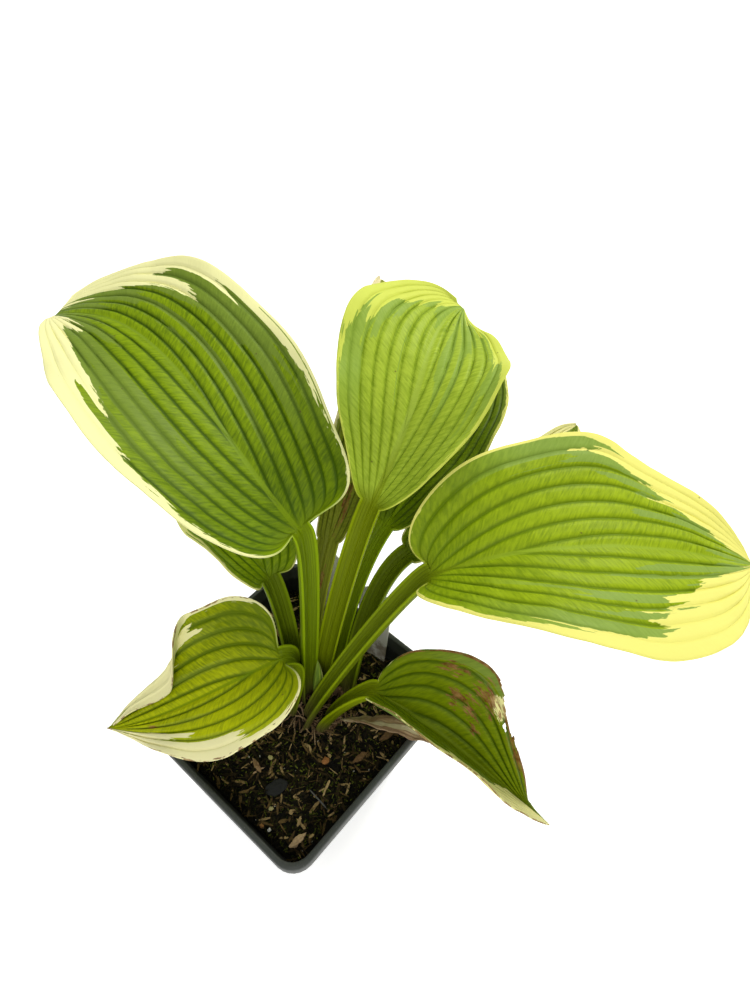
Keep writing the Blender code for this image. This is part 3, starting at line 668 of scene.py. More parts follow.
def leaf_finish(name, look, seed):
    """Green quilted between sunken veins, with painted shade in their grooves and near the base, grey-green
    bands and a feathered cream margin.
    """
    bench = Finish(name + "_skin", gleam=0.10)
    vein = bench.attribute("vein")
    lengthwise = bench.attribute("lengthwise")
    across = bench.attribute("across")
    margin = bench.attribute("margin")
    sheet = bench.attribute("sheet", "Vector")
    travelled = bench.part(sheet, 0)
    beside = bench.part(sheet, 1).size()
    other_side = across * 3.0 + seed * 11.0

    wave = (vein * math.pi).maths("SINE").size()
    line = wave.step(0.30, 0.0)
    # Painted shade: the green darkens along the sunken vein lines, as in the shade of their grooves.
    groove_shading = 1 - (wave * wave * -7.0).maths("EXPONENT") * look["line_depth"]
    slanted = travelled - beside * 0.6
    strokes = bench.drift(slanted * 1.25, beside * 0.22, other_side)
    patches = bench.drift(travelled * 0.035, vein * 0.5, other_side)
    lightness = groove_shading * (0.36 + (strokes - 0.5) * 0.95 + patches * 0.5) + (strokes - 0.5) * 0.15
    # Painted light: the blade's left half is made lighter, as where more light falls on it.
    lightness = (lightness - across * look["left_lighter"]).step(-0.05, 0.95)
    green = bench.mix(lightness, look["deep"], look["bright"])
    # Painted shade: the blade darkens towards its cupped base, where shade falls.
    inner = lengthwise.step(0.42, 0.0) * look["dark_base"]
    green = bench.mix(inner * (1 - lightness * 0.6), green, look["deep"])

    strip = (vein * 2.0 + 0.5).maths("FLOOR")
    by_strip = bench.drift(strip * 3.7, lengthwise * 1.6, other_side, 1.0)
    tongues = bench.drift(vein * 1.3, lengthwise * 1.8, other_side, 1.0) * 0.5 + by_strip * 0.5
    teeth = bench.drift(vein * 7.0, travelled * 0.22, other_side) - 0.5
    banding = bench.drift(strip * 2.3, lengthwise * 1.1, other_side + 31.0, 1.0)
    grey_place = margin + (banding - 0.5) * 2.6 + teeth * 0.16 + look["greying"]
    grey_share = grey_place.step(-0.012, 0.012) * lengthwise.step(0.10, 0.4)
    paler = bench.mix(lightness * 0.35 + 0.65, look["deep"], look["grey"])
    green = bench.mix(grey_share * look["grey_strength"], green, paler)

    reaching = (tongues - 0.5) * look["reach"] * 1.9 * lengthwise.step(0.1, 0.5)
    edge = across.size().step(0.972, 0.978) * look["edge"]
    cream_share = (margin + reaching + teeth * 0.14).step(-0.006, 0.006).maths("MAXIMUM", edge)
    # The cream darkens along the vein lines as painted shade in their grooves, and in random patches as its
    # own tired tone.
    groove_shade_and_tiring = line * 0.14 + (1 - bench.noise(sheet, 0.05, 3.0)) * 0.28
    tired_and_shaded_cream = tuple(value * part for value, part in zip(look["cream"], (0.84, 0.86, 0.62)))
    skin = bench.mix(cream_share, green, bench.mix(groove_shade_and_tiring, look["cream"], tired_and_shaded_cream))

    ribs = bench.drift(across * 16.0, lengthwise * 2.5, 3.0)
    stalk_dark = tuple(0.62 * value for value in look["stalk"])
    stalk = bench.mix(ribs.step(0.3, 0.7), stalk_dark, look["stalk"])
    pale_edge = tuple(1.35 * value for value in look["stalk"])
    stalk = bench.mix(across.size().step(0.80, 0.93), stalk, pale_edge)
    rib_half = (1 - lengthwise) * look["rib_width"] + 0.25
    rib = (rib_half - beside).step(-0.3, 0.3) * lengthwise.step(1.0, 0.7)
    rib_colour = bench.mix(lengthwise.step(0.0, 0.25), look["stalk"], look["midrib"])
    skin = bench.mix(rib * 0.7, skin, rib_colour)
    # Towards its foot the stalk turns brownish, striped with near-black that is painted shade where the
    # foot goes down into the crown.
    foot_brown_and_shade = bench.mix(ribs.step(0.35, 0.65), (0.045, 0.034, 0.010), (0.15, 0.13, 0.04))
    stalk = bench.mix(lengthwise.step(-0.66, -0.94) * 0.9, stalk, foot_brown_and_shade)
    skin = bench.mix(lengthwise.step(0.05, -0.02), skin, stalk)

    under = tuple(0.55 * a + 0.45 * b for a, b in zip(look["grey"], (0.26, 0.36, 0.10)))
    lower = (1 - bench.attribute("upper")) * (1 - cream_share) * lengthwise.step(0.0, 0.1)
    skin = bench.mix(lower * (0.55 + 0.3 * line), skin, under)

    hurt = bench.attribute("damage")
    mottle = bench.noise(sheet, 0.35, 4.0, 0.65)
    streaks = bench.drift(vein * 5.0, travelled * 0.22, other_side + 7.0, 3.0, 0.6) - 0.5
    dry_edge = across.size().step(0.955, 0.985) * look["dry_edge"] * lengthwise.step(0.05, 0.1)
    browning = (hurt * 0.9 + dry_edge * 0.75 + streaks * 2.4).step(0.58, 0.78)
    rust = bench.ramp(mottle, [(0.35, (0.13, 0.022, 0.004)), (0.68, (0.38, 0.20, 0.07))])
    bleached = (bench.attribute("bleached") + streaks * 1.6).step(0.42, 0.48)
    skin = bench.mix(bleached, skin, look["cream"])
    skin = bench.mix(browning * 0.85, skin, rust)
    specks = bench.node("ShaderNodeTexVoronoi", None, {"Vector": sheet, "Scale": 0.09}, "Distance")
    skin = bench.mix(specks.step(0.045, 0.03) * 0.6, skin, (0.09, 0.05, 0.02))

    gloss = 0.44 + mottle * 0.14 + cream_share * 0.08
    relief = bench.bump(strokes * groove_shading * 0.35 + (1 - line) * 0.4 + mottle * 0.12, 0.0006, 0.6)
    return bench.feed(base_color=skin, roughness=gloss, normal=relief)


for seed, (leaf_name, leaf) in enumerate(LEAVES.items()):
    make_leaf(leaf_name, USUAL_LEAF | leaf, USUAL_LOOK | LOOKS[leaf_name], seed)


# ---- Pot ----

def square_outline(half, radius, count):
    """A rounded square as evenly turned points round the origin."""
    angle = np.linspace(0, 2 * math.pi, count, endpoint=False) + 1e-4
    c, s = np.abs(np.cos(angle)), np.abs(np.sin(angle))
    reach = half / np.maximum(c, s)
    centre = half - radius
    in_corner = np.minimum(reach * c, reach * s) > centre
    under_root = np.maximum(centre**2 * (c + s) ** 2 - (2 * centre**2 - radius**2), 0)
    reach = np.where(in_corner, centre * (c + s) + np.sqrt(under_root), reach)
    return np.column_stack([reach * np.cos(angle), reach * np.sin(angle)])


def wall_half(height):
    top = RIM_HALF - RIM_FLANGE
    return BASE_HALF + (top - BASE_HALF) * height / POT_HEIGHT


FLOOR_INSIDE = wall_half(FLOOR_THICKNESS) - WALL
MOUTH_INSIDE = RIM_HALF - RIM_FLANGE - WALL


def pot_finish():
    """Black moulded plastic: satin, scratched and dusty, with a painted highlight on the rim."""
    bench = Finish("pot_plastic_skin", gleam=0.3)
    place = bench.place()
    dust = bench.noise(place, 55.0, 5.0, 0.6)
    upright = bench.node("ShaderNodeMapping", None, {"Vector": place, "Scale": (900.0, 900.0, 60.0)})
    scratches = bench.noise(upright, 1.0, 2.0)
    # Painted highlight: the rim is made paler, as where light catches it.
    rim = bench.part(place, 2).step(0.0905, 0.0925)
    colour = bench.mix(dust.step(0.5, 0.8) * 0.5, (0.014, 0.016, 0.013), (0.065, 0.068, 0.060))
    colour = bench.mix(rim * 0.6, colour, (0.062, 0.070, 0.058))
    colour = bench.mix(scratches.step(0.62, 0.75) * 0.4, colour, (0.12, 0.13, 0.115))
    gloss = 0.36 + dust * 0.22 + scratches * 0.08
    relief = bench.bump(dust * 0.5 + scratches, 0.0002, 0.35)
    return bench.feed(base_color=colour, roughness=gloss, normal=relief)


def pot_profile():
    """(half width, corner radius, height) down the outside's foot, up over the rim and down inside."""
    top = MOUTH_INSIDE
    under = POT_HEIGHT - RIM_DEPTH
    profile = [(BASE_HALF - 1.2, 7.8, 0.0), (BASE_HALF - 0.4, 8.6, 0.3), (BASE_HALF, CORNER_RADIUS, 1.0)]
    profile += [(wall_half(height), CORNER_RADIUS, height) for height in np.linspace(2, under - 1.2, 14)]
    profile += [
        (wall_half(under) + 0.2, 9.0, under - 0.3), (wall_half(under) + 0.6, 9.3, under),
        (RIM_HALF - 0.7, 10.1, under), (RIM_HALF - 0.3, 10.3, under + 0.2),
        (RIM_HALF - 0.05, 10.5, under + 0.7), (RIM_HALF, 10.5, POT_HEIGHT - 1.8),
        (RIM_HALF - 0.1, 10.4, POT_HEIGHT - 1.0), (RIM_HALF - 0.4, 10.2, POT_HEIGHT - 0.4),
        (RIM_HALF - 0.9, 9.9, POT_HEIGHT - 0.05), (RIM_HALF - 1.3, 9.6, POT_HEIGHT),
        (top + 0.9, 9.2, POT_HEIGHT), (top + 0.4, 9.0, POT_HEIGHT - 0.2),
        (top + 0.1, 8.7, POT_HEIGHT - 0.8), (top, 8.5, POT_HEIGHT - 1.6),
    ]
    wall_height = POT_HEIGHT - 4 - FLOOR_THICKNESS
    for share in np.linspace(0.96, 0.03, 8):
        half = FLOOR_INSIDE + (top - FLOOR_INSIDE) * share
        profile.append((half, 8.0 + 0.5 * share, FLOOR_THICKNESS + wall_height * share))
    profile.append((FLOOR_INSIDE, 8.0, FLOOR_THICKNESS))
    return profile


def make_pot():
    count = 192
    finish = pot_finish()
    loops = [np.column_stack([square_outline(half, radius, count), np.full(count, height)])
             for half, radius, height in pot_profile()]
    pot = mesh_piece("nursery_pot_shell", np.concatenate(loops), tube_faces(len(loops), count), finish)
    angle = np.linspace(0, 2 * math.pi, DRILL_SIDES, endpoint=False)
    hole = DRAIN_RADIUS * np.column_stack([np.cos(angle), np.sin(angle)])
    drills = []
    for x in (-DRAIN_OFFSET, DRAIN_OFFSET):
        for y in (-DRAIN_OFFSET, DRAIN_OFFSET):
            ring = hole + (x, y)
            ends = [np.column_stack([ring, np.full(DRILL_SIDES, height)]) for height in DRILL_ENDS]
            drill = mesh_piece("drill", np.concatenate(ends), tube_faces(2, DRILL_SIDES), finish)
            cutting = pot.modifiers.new("drain", "BOOLEAN")
            cutting.operation = "DIFFERENCE"
            cutting.object = drill
            drills.append(drill)
    made_plain(pot)
    for drill in drills:
        bpy.data.objects.remove(drill)
    pot.data.set_sharp_from_angle(angle=math.radians(35))
    return hand_in(pot, "nursery_pot")


make_pot()


# ---- Potting mix ----

def soil_height(x, y):
    swell = np.sin(0.23 * x + 1.3) * np.cos(0.19 * y - 0.4) + 0.6 * np.sin(0.41 * x - 0.33 * y)
    return SOIL_LEVEL + SOIL_WAVE * swell


def soil_finish():
    """Wet peat: nearly black, with browner crumbs and a little moss."""
    bench = Finish("potting_mix_skin", gleam=0.12)
    place = bench.place()
    crumbs = bench.noise(place, 420.0, 6.0, 0.7)
    patches = bench.noise(place, 60.0, 3.0)
    colour = bench.ramp(crumbs, [(0.3, (0.001, 0.001, 0.0005)), (0.55, (0.005, 0.0045, 0.0015)),
                                 (0.8, (0.025, 0.02, 0.006))])
    moss = patches.step(0.58, 0.7) * crumbs.step(0.4, 0.6)
    colour = bench.mix(moss * 0.7, colour, (0.03, 0.042, 0.003))
    gloss = 0.62 + crumbs * 0.35
    return bench.feed(base_color=colour, roughness=gloss, normal=bench.bump(crumbs, 0.0012, 0.9))


def make_soil():
    count = 220
    filled = (SOIL_LEVEL - FLOOR_THICKNESS) / (POT_HEIGHT - RIM_ROUNDING - FLOOR_THICKNESS)
    edge = FLOOR_INSIDE + (MOUTH_INSIDE - FLOOR_INSIDE) * filled
    low = square_outline(FLOOR_INSIDE - 0.6, 7.6, count)
    loops = [np.column_stack([low, np.full(count, FLOOR_THICKNESS + 0.3)])]
    for share in np.linspace(1, 0.01, 110):
        loop = square_outline((edge - 0.4) * share, 8.0 * share, count)
        settled = np.clip((1 - share) * 5, 0, 1)
        height = SOIL_LEVEL - 1.0 + (soil_height(loop[:, 0], loop[:, 1]) - SOIL_LEVEL + 1.0) * settled
        lumps = rolling(loop, 9.0, 3) * 1.2 + rolling(loop, 3.5, 8) * 0.9 + rolling(loop, 1.6, 21) * 0.5
        loops.append(np.column_stack([loop, height - 0.6 + lumps]))
    faces = tube_faces(len(loops), count)
    soil = mesh_piece("potting_mix_bed", np.concatenate(loops), faces, soil_finish())
    return hand_in(soil, "potting_mix")


soil = make_soil()


# ---- Loose pieces ----

def crumb_finish(name, stops):
    """A dull, grainy finish whose shade follows each piece's own tint."""
    bench = Finish(name + "_skin", gleam=0.15)
    grain = bench.noise(bench.place(), 900.0, 4.0, 0.65)
    shade = bench.attribute("tint") * 0.75 + grain * 0.35 - 0.05
    relief = bench.bump(grain, 0.0004, 0.7)
    return bench.feed(base_color=bench.ramp(shade, stops), roughness=0.7 + grain * 0.3, normal=relief)


def one_shape(bench, strand):
    """A thin rod along X if strand, and otherwise a coarse ball; both are 1 across."""
    if not strand:
        return bench.node("GeometryNodeMeshIcoSphere", None, {"Radius": 0.5, "Subdivisions": 1})
    ends = {"Start": (-0.5, 0, 0), "End": (0.5, 0, 0)}
    line = bench.node("GeometryNodeCurvePrimitiveLine", None, ends)
    line = bench.node("GeometryNodeResampleCurve", None, {"Curve": line, "Count": 7})
    ring = bench.node("GeometryNodeCurvePrimitiveCircle", None, {"Resolution": 4, "Radius": 0.5})
    return bench.node("GeometryNodeCurveToMesh", None,
                      {"Curve": line, "Profile Curve": ring, "Fill Caps": True})


def scatter(name, ground, stops, strand, density, gap, smallest, largest, seed, tilt, bend, lift):
    """Many pieces strewn over the ground: thin fibres if strand, and otherwise rough crumbs.

    Sizes are (length, width, height) in millimetres, density is pieces for each square centimetre.
    """
    finish = crumb_finish(name, stops)
    tree = bpy.data.node_groups.new(name, "GeometryNodeTree")
    bench = Bench(tree)
    sizes = {
        "Density": ("NodeSocketFloat", density * 1e4), "Gap": ("NodeSocketFloat", gap * MM),
        "Smallest": ("NodeSocketVector", [part * MM for part in smallest]),
        "Largest": ("NodeSocketVector", [part * MM for part in largest]),
        "Bend": ("NodeSocketFloat", bend * MM), "Seed": ("NodeSocketInt", seed),
    }
    tree.interface.new_socket("Ground", in_out="INPUT", socket_type="NodeSocketGeometry")
    identifiers = {title: tree.interface.new_socket(title, in_out="INPUT", socket_type=kind).identifier
                   for title, (kind, _) in sizes.items()}
    tree.interface.new_socket("Pieces", in_out="OUTPUT", socket_type="NodeSocketGeometry")
    given = {title: bench.node("NodeGroupInput", output=title) for title in ("Ground", *sizes)}
    open_places = bench.node("GeometryNodeInputNamedAttribute", {"data_type": "FLOAT"}, {"Name": "open"})
    points = bench.node("GeometryNodeDistributePointsOnFaces", {"distribute_method": "POISSON"},
                        {"Mesh": given["Ground"], "Distance Min": given["Gap"],
                         "Density Max": given["Density"], "Density Factor": open_places,
                         "Seed": given["Seed"]})
    size = bench.node("FunctionNodeRandomValue", {"data_type": "FLOAT_VECTOR"},
                      {0: given["Smallest"], 1: given["Largest"], "Seed": 5})
    turn = bench.node("FunctionNodeRandomValue", {"data_type": "FLOAT_VECTOR"},
                      {0: (-tilt, -tilt, 0.0), 1: (tilt, tilt, 2 * math.pi), "Seed": 9})
    turn = bench.node("FunctionNodeEulerToRotation", None, {0: turn})
    spread = bench.node("GeometryNodeInstanceOnPoints", None,
                        {"Points": points, "Instance": one_shape(bench, strand), "Rotation": turn,
                         "Scale": size})
    tint = bench.node("FunctionNodeRandomValue", {"data_type": "FLOAT"}, {"Seed": 3}, 1)
    spread = bench.node("GeometryNodeStoreNamedAttribute", {"data_type": "FLOAT", "domain": "INSTANCE"},
                        {"Geometry": spread, "Name": "tint", "Value": tint})
    real = bench.node("GeometryNodeRealizeInstances", None, {"Geometry": spread})
    fineness = 130.0 if strand else 450.0
    rough = bench.node("ShaderNodeTexNoise", None, {"Scale": fineness, "Detail": 1.0}, 1)
    middle = (0.5, 0.5, 0.45 - lift)
    rough = bench.node("ShaderNodeVectorMath", {"operation": "SUBTRACT"}, {0: rough, 1: middle})
    offset = bench.node("ShaderNodeVectorMath", {"operation": "SCALE"}, {0: rough, "Scale": given["Bend"]})
    moved = bench.node("GeometryNodeSetPosition", None, {"Geometry": real, "Offset": offset})
    shaded = bench.node("GeometryNodeSetShadeSmooth", None, {"Geometry": moved, "Shade Smooth": strand})
    done = bench.node("GeometryNodeSetMaterial", None, {"Geometry": shaded, "Material": finish})
    bench.node("NodeGroupOutput", None, {0: done})

    piece = bpy.data.objects.new(name, ground.data.copy())
    bpy.context.scene.collection.objects.link(piece)
    strewing = piece.modifiers.new("strewing", "NODES")
    strewing.node_group = tree
    for title, (_, value) in sizes.items():
        strewing[identifiers[title]] = value
    return made_plain(piece)


def open_ground(from_crown, from_wall):
    """Where loose pieces may lie: the mix's top, this far from the crown's middle and from the wall."""
    place = np.array([vertex.co for vertex in soil.data.vertices]) / MM
    off_crown = np.hypot(place[:, 0] - CROWN_CENTRE[0], place[:, 1] - CROWN_CENTRE[1])
    off_wall = MIX_HALF - np.maximum(np.abs(place[:, 0]), np.abs(place[:, 1]))
    allowed = (place[:, 2] > MIX_SIDES_BELOW) & (off_crown > from_crown) & (off_wall > from_wall)
    set_number(soil.data, "open", allowed)


# Colour ramps, from each finish's darkest shade to its lightest
BARK_STOPS = [(0.1, (0.005, 0.004, 0.001)), (0.5, (0.03, 0.02, 0.006)), (0.74, (0.14, 0.09, 0.03)),
              (0.95, (0.55, 0.40, 0.18))]
PEAT_STOPS = [(0.1, (0.001, 0.001, 0.0005)), (0.6, (0.005, 0.0045, 0.0015)), (0.85, (0.016, 0.014, 0.003)),
              (0.98, (0.05, 0.038, 0.012))]
MOSS_STOPS = [(0.1, (0.010, 0.015, 0.001)), (0.5, (0.035, 0.045, 0.003)), (0.95, (0.15, 0.17, 0.02))]
GRAIN_STOPS = [(0.1, (0.20, 0.19, 0.13)), (0.6, (0.42, 0.41, 0.32)), (0.95, (0.78, 0.77, 0.70))]
FIBRE_STOPS = [(0.1, (0.006, 0.004, 0.001)), (0.7, (0.022, 0.015, 0.005)), (0.95, (0.13, 0.09, 0.035))]
SHEATH_STOPS = [(0.1, (0.04, 0.022, 0.010)), (0.5, (0.16, 0.095, 0.045)), (0.95, (0.42, 0.30, 0.17))]
SLATE_STOPS = [(0.1, (0.008, 0.009, 0.008)), (0.5, (0.020, 0.021, 0.019)), (0.95, (0.06, 0.06, 0.052))]
STONE_STOPS = [(0.1, (0.10, 0.04, 0.015)), (0.6, (0.30, 0.13, 0.04)), (0.95, (0.50, 0.28, 0.11))]
CHIP_STOPS = [(0.1, (0.03, 0.018, 0.007)), (0.6, (0.17, 0.10, 0.04)), (0.95, (0.62, 0.44, 0.24))]
MOSSY_STOPS = [(0.1, (0.12, 0.11, 0.03)), (0.6, (0.34, 0.31, 0.11)), (0.95, (0.58, 0.53, 0.26))]
TWIG_STOPS = [(0.1, (0.02, 0.02, 0.018)), (0.6, (0.08, 0.08, 0.072)), (0.95, (0.20, 0.20, 0.18))]

LOOSE_PIECES = {
    # name: (slot, clear of the crown, clear of the wall, colours, strand,
    #        density, gap, smallest, largest, seed, tilt, bend, lift)
    "peat_crumbs": ("potting_mix", 15, 1.0, PEAT_STOPS, False,
                    45, 0.9, (1.2, 0.9, 0.8), (3.6, 2.4, 1.8), 1, 0.5, 0.4, 0.0),
    "bark_bits": ("bark", 17, 2.0, BARK_STOPS, False,
                  17, 1.0, (1.8, 0.35, 0.3), (9.0, 1.9, 1.0), 2, 0.45, 0.9, 0.7),
    "peat_fibres": ("potting_mix", 17, 2.0, FIBRE_STOPS, True,
                    7, 0.8, (3.0, 0.2, 0.2), (8.0, 0.4, 0.4), 3, 0.35, 4.0, 0.15),
    "moss_bits": ("potting_mix", 17, 2.0, MOSS_STOPS, True,
                  24, 0.4, (0.8, 0.35, 0.35), (2.2, 0.8, 0.8), 11, 1.1, 2.0, 0.25),
    "perlite_bits": ("perlite", 17, 2.0, GRAIN_STOPS, False,
                     0.6, 3.0, (0.5, 0.4, 0.4), (1.5, 1.2, 1.1), 4, 1.5, 0.7, 0.6),
}
for loose_name, (slot_name, off_crown, off_wall, *rest) in LOOSE_PIECES.items():
    open_ground(off_crown, off_wall)
    hand_in(scatter(loose_name, soil, *rest), "potting_mix")


# ---- Crown ----

def make_crown():
    around, rows = 120, 60
    angle = np.linspace(0, 2 * math.pi, around, endpoint=False)
    knobbly = 1 + 0.05 * np.sin(5 * angle) + 0.03 * np.cos(3 * angle)
    loops = []
    for share in np.linspace(0, 1, rows):
        height = CROWN_TOP - CROWN_DEPTH * (1 - np.sin(share * math.pi / 2))
        radius = CROWN_RADIUS * np.cos(share * math.pi / 2 * 0.98) ** 0.5 * knobbly
        flat = CROWN_CENTRE + radius[:, None] * np.column_stack([np.cos(angle), np.sin(angle)])
        lumps = rolling(flat, 5.0, 4) * 1.6 + rolling(flat, 2.0, 9) * 0.8 - 0.6
        loops.append(np.column_stack([flat, height + lumps]))
    finish = crumb_finish("crown", FIBRE_STOPS)
    attributes = {"tint": 0.25, "open": 1.0}
    crown = mesh_piece("crown_knob", np.concatenate(loops), tube_faces(rows, around), finish, attributes)
    return hand_in(crown, "crown")


crown = make_crown()
hairs = scatter("crown_fibres", crown, SHEATH_STOPS, True,
                22, 0.7, (5.0, 0.3, 0.3), (14.0, 0.9, 0.5), 6, 0.7, 6.0, 0.2)
hand_in(hairs, "crown")


# ---- Small pieces ----

def make_shoot():
    """A new leaf still rolled up: a sheet wound round itself, narrowing to a soft point."""
    shape = rows, turns = 46, 90
    share = np.linspace(0, 1, rows)
    wound = np.linspace(0, 1, turns)
    bent = np.stack([share**1.3, share**1.3, share], axis=1)
    centre = np.array(SHOOT_FOOT) + np.array(SHOOT_LEAN) * bent
    size = SHOOT_RADIUS * (0.75 + 0.45 * np.sin(math.pi * share * 0.8)) * (1 - share**3 * 0.85)
    angle = 4.0 + share[:, None] * 1.2 + wound[None, :] * 2 * math.pi * SHOOT_TURNS
    radius = size[:, None] * (0.42 + 0.58 * wound[None, :] ** 0.8)
    around = np.stack([np.cos(angle), np.sin(angle), 0 * angle], axis=-1)
    slanted_top = -0.05 * np.sin(angle) * 30.0 * share[:, None] ** 2
    outer = centre[:, None] + around * radius[..., None]
    outer[..., 2] += slanted_top
    inner = outer - around * 0.45
    points, faces, used = plate(inner, outer, np.ones((rows - 1, turns - 1), bool))
    bench = Finish("new_shoot_skin")
    lines = bench.drift(bench.attribute("wound") * 26.0, bench.attribute("height") * 2.0, 1.0, 3.0)
    colour = bench.mix(lines.step(0.35, 0.65), (0.10, 0.19, 0.012), (0.33, 0.45, 0.05))
    colour = bench.mix(bench.attribute("wound").step(0.93, 0.97), colour, (0.62, 0.66, 0.22))
    relief = bench.bump(lines, 0.0004, 0.6)
    finish = bench.feed(base_color=colour, roughness=0.34 + lines * 0.2, normal=relief)
    attributes = on_both_faces({"wound": wound[None, :], "height": share[:, None]}, shape, used)
    return hand_in(mesh_piece("new_shoot_roll", points, faces, finish, attributes), "new_shoot")


def make_stub():
    """The foot of a cut stalk, dry, with a frayed top."""
    rows, columns = 26, 72
    sweep = np.radians(np.linspace(-35, 215, columns))
    frayed = 1.2 * np.sin(9 * sweep) + 0.8 * np.sin(23 * sweep + 1)
    outer = []
    inner = []
    for level in np.linspace(0, 1, rows):
        height = STALK_START - 1 + STUB_HEIGHT * level + frayed * level**3
        flare = 1 + 0.10 * level + 0.04 * np.sin(5 * sweep + 2 * level)
        for rings, radius in ((outer, STUB_OUTER), (inner, STUB_INNER)):
            flat = (radius * flare)[:, None] * np.column_stack([np.cos(sweep), np.sin(sweep)])
            rings.append(np.column_stack([STUB_CENTRE + flat, height]))
    points, faces, _ = plate(np.array(inner), np.array(outer), np.ones((rows - 1, columns - 1), bool))
    finish = crumb_finish("stub", SHEATH_STOPS)
    piece = mesh_piece("old_stalk_stub_sheath", points, faces, finish, {"tint": 0.6})
    return hand_in(piece, "old_stalk_stub")


def make_withered_leaf():
    """A dry leaf, shrunken to a creased, twisted strip that hangs over the rim."""
    shape = rows, columns = 150, 41
    share = np.linspace(0, 1, rows)
    centre, along = bezier(WITHERED_ROUTE, share)
    side = unit(np.cross(along, (0, 0, 1)))
    face = np.cross(side, along)
    turn = (math.radians(70) * (1 - share))[:, None]
    across = np.linspace(-1, 1, columns)
    swelling = 0.35 + 0.65 * np.sin(math.pi * np.clip(share * 1.15, 0, 1)) ** 0.8
    width = WITHERED_HALF_WIDTH * swelling * (1 - 0.75 * ease((share - 0.8) / 0.2))
    crease = 0.30 * np.abs(across)[None, :] * width[:, None]
    crease = crease + 0.5 * np.sin(9 * share)[:, None] * across[None, :] ** 2
    crease = crease + 0.35 * np.sin(across[None, :] * 11 + 5 * share[:, None])
    right = (side * np.cos(turn) + face * np.sin(turn))[:, None]
    up = (face * np.cos(turn) - side * np.sin(turn))[:, None]
    middle = centre[:, None] + right * (across[None, :] * width[:, None])[..., None]
    middle = middle + up * crease[..., None]
    middle = middle + up * (rolling(middle, 6.0, 2) * 1.2 + rolling(middle, 2.2, 6) * 0.45)[..., None]
    half = WITHERED_HALF_THICKNESS * up
    points, faces, used = plate(middle + half, middle - half, np.ones((rows - 1, columns - 1), bool))
    bench = Finish("withered_leaf_skin")
    beside = bench.attribute("across")
    lengthwise = bench.attribute("lengthwise")
    streaks = bench.drift(beside * 7.0, lengthwise * 3.0, 2.0, 5.0, 0.65)
    colour = bench.ramp(streaks, [(0.25, (0.10, 0.045, 0.022)), (0.5, (0.28, 0.17, 0.09)),
                                  (0.72, (0.52, 0.40, 0.24))])
    colour = bench.mix(beside.size().step(0.4, 0.1) * 0.7, colour, (0.62, 0.55, 0.36))
    colour = bench.mix(lengthwise.step(0.35, 0.0) * 0.6, colour, (0.50, 0.45, 0.20))
    relief = bench.bump(streaks, 0.0008, 0.8)
    finish = bench.feed(base_color=colour, roughness=0.6 + streaks * 0.3, normal=relief)
    attributes = on_both_faces({"across": across[None, :], "lengthwise": share[:, None]}, shape, used)
    piece = mesh_piece("withered_leaf_sheet", points, faces, finish, attributes)
    return hand_in(piece, "withered_leaf")


LABELS = {
    # name: (middle of the top edge, turn, lean)
    "plant_label_rear": ((-27.0, 54.0, 137.0), 20.0, 8.0),
    "plant_label_right": ((6.0, 54.0, 136.0), 8.0, 7.0),
}


def make_label(name, top, turn, lean):
    """A blank strip with chamfered corners and a pointed foot, its edges rounded."""
    half, chamfer, low, half_point, taper = 9.0, 3.5, -76.0, 2, 20
    outline = [(-half + chamfer, 0), (-half, -chamfer), (-half, low + taper), (-half_point, low),
               (half_point, low), (half, low + taper), (half, -chamfer), (half - chamfer, 0)]
    turned, leaned = math.radians(turn), math.radians(lean)
    wide = np.array([math.cos(turned), math.sin(turned), 0.0])
    level = np.array([-wide[1], wide[0], 0.0])
    up = level * math.sin(leaned) + np.array([0.0, 0.0, math.cos(leaned)])
    through = np.cross(wide, up) * 0.4
    flat = np.array([np.array(top) + wide * x + up * y for x, y in outline])
    bench = Finish(name + "_skin")
    place = bench.place()
    dirt = bench.noise(place, 130.0, 5.0, 0.65)
    soiled = (dirt + bench.part(place, 2).step(0.112, 0.086) * 0.35).step(0.62, 0.85) * 0.8
    colour = bench.mix(soiled, (0.66, 0.65, 0.60), (0.16, 0.11, 0.06))
    relief = bench.bump(dirt, 0.0002, 0.4)
    finish = bench.feed(base_color=colour, roughness=0.38 + dirt * 0.3, normal=relief)
    points = np.concatenate([flat - through, flat + through])
    piece = mesh_piece(name + "_strip", points, tube_faces(2, len(outline)), finish, smooth=False)
    rounding = piece.modifiers.new("rounding", "BEVEL")
    rounding.width = 0.25 * MM
    rounding.segments = 3
    made_plain(piece)
    return hand_in(piece, name)


def points_and_faces(shape):
    points = np.array([vertex.co for vertex in shape.verts])
    faces = [[vertex.index for vertex in face.verts] for face in shape.faces]
    shape.free()
    return points, faces


def make_lump(name, slot, stops, tint, taper, seed):
    """A chip or pebble: the CAD lump with a finer, rougher surface, its ends narrowed by taper."""
    shape = bmesh.new()
    shape.from_mesh(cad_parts[name].data)
    bmesh.ops.remove_doubles(shape, verts=shape.verts, dist=0.00001)
    bmesh.ops.subdivide_edges(shape, edges=shape.edges, cuts=5, use_grid_fill=True)
    points, faces = points_and_faces(shape)
    points = points / MM
    centre = points.mean(axis=0)
    offset = points - centre
    grain = np.linalg.svd(offset, full_matrices=False)[2][0]
    along = offset @ grain
    from_axis = offset - np.outer(along, grain)
    narrowed = 1 - taper * np.abs(along / np.abs(along).max())
    rough = rolling(points, 2.4, seed) * 0.35 + rolling(points, 0.9, seed + 3) * 0.15
    points = centre + np.outer(along, grain) + from_axis * (narrowed + rough)[:, None]
    points[:, 2] -= LUMP_SINKING
    piece = mesh_piece(name + "_lump", points, faces, crumb_finish(name, stops), {"tint": tint}, False)
    return hand_in(piece, name)


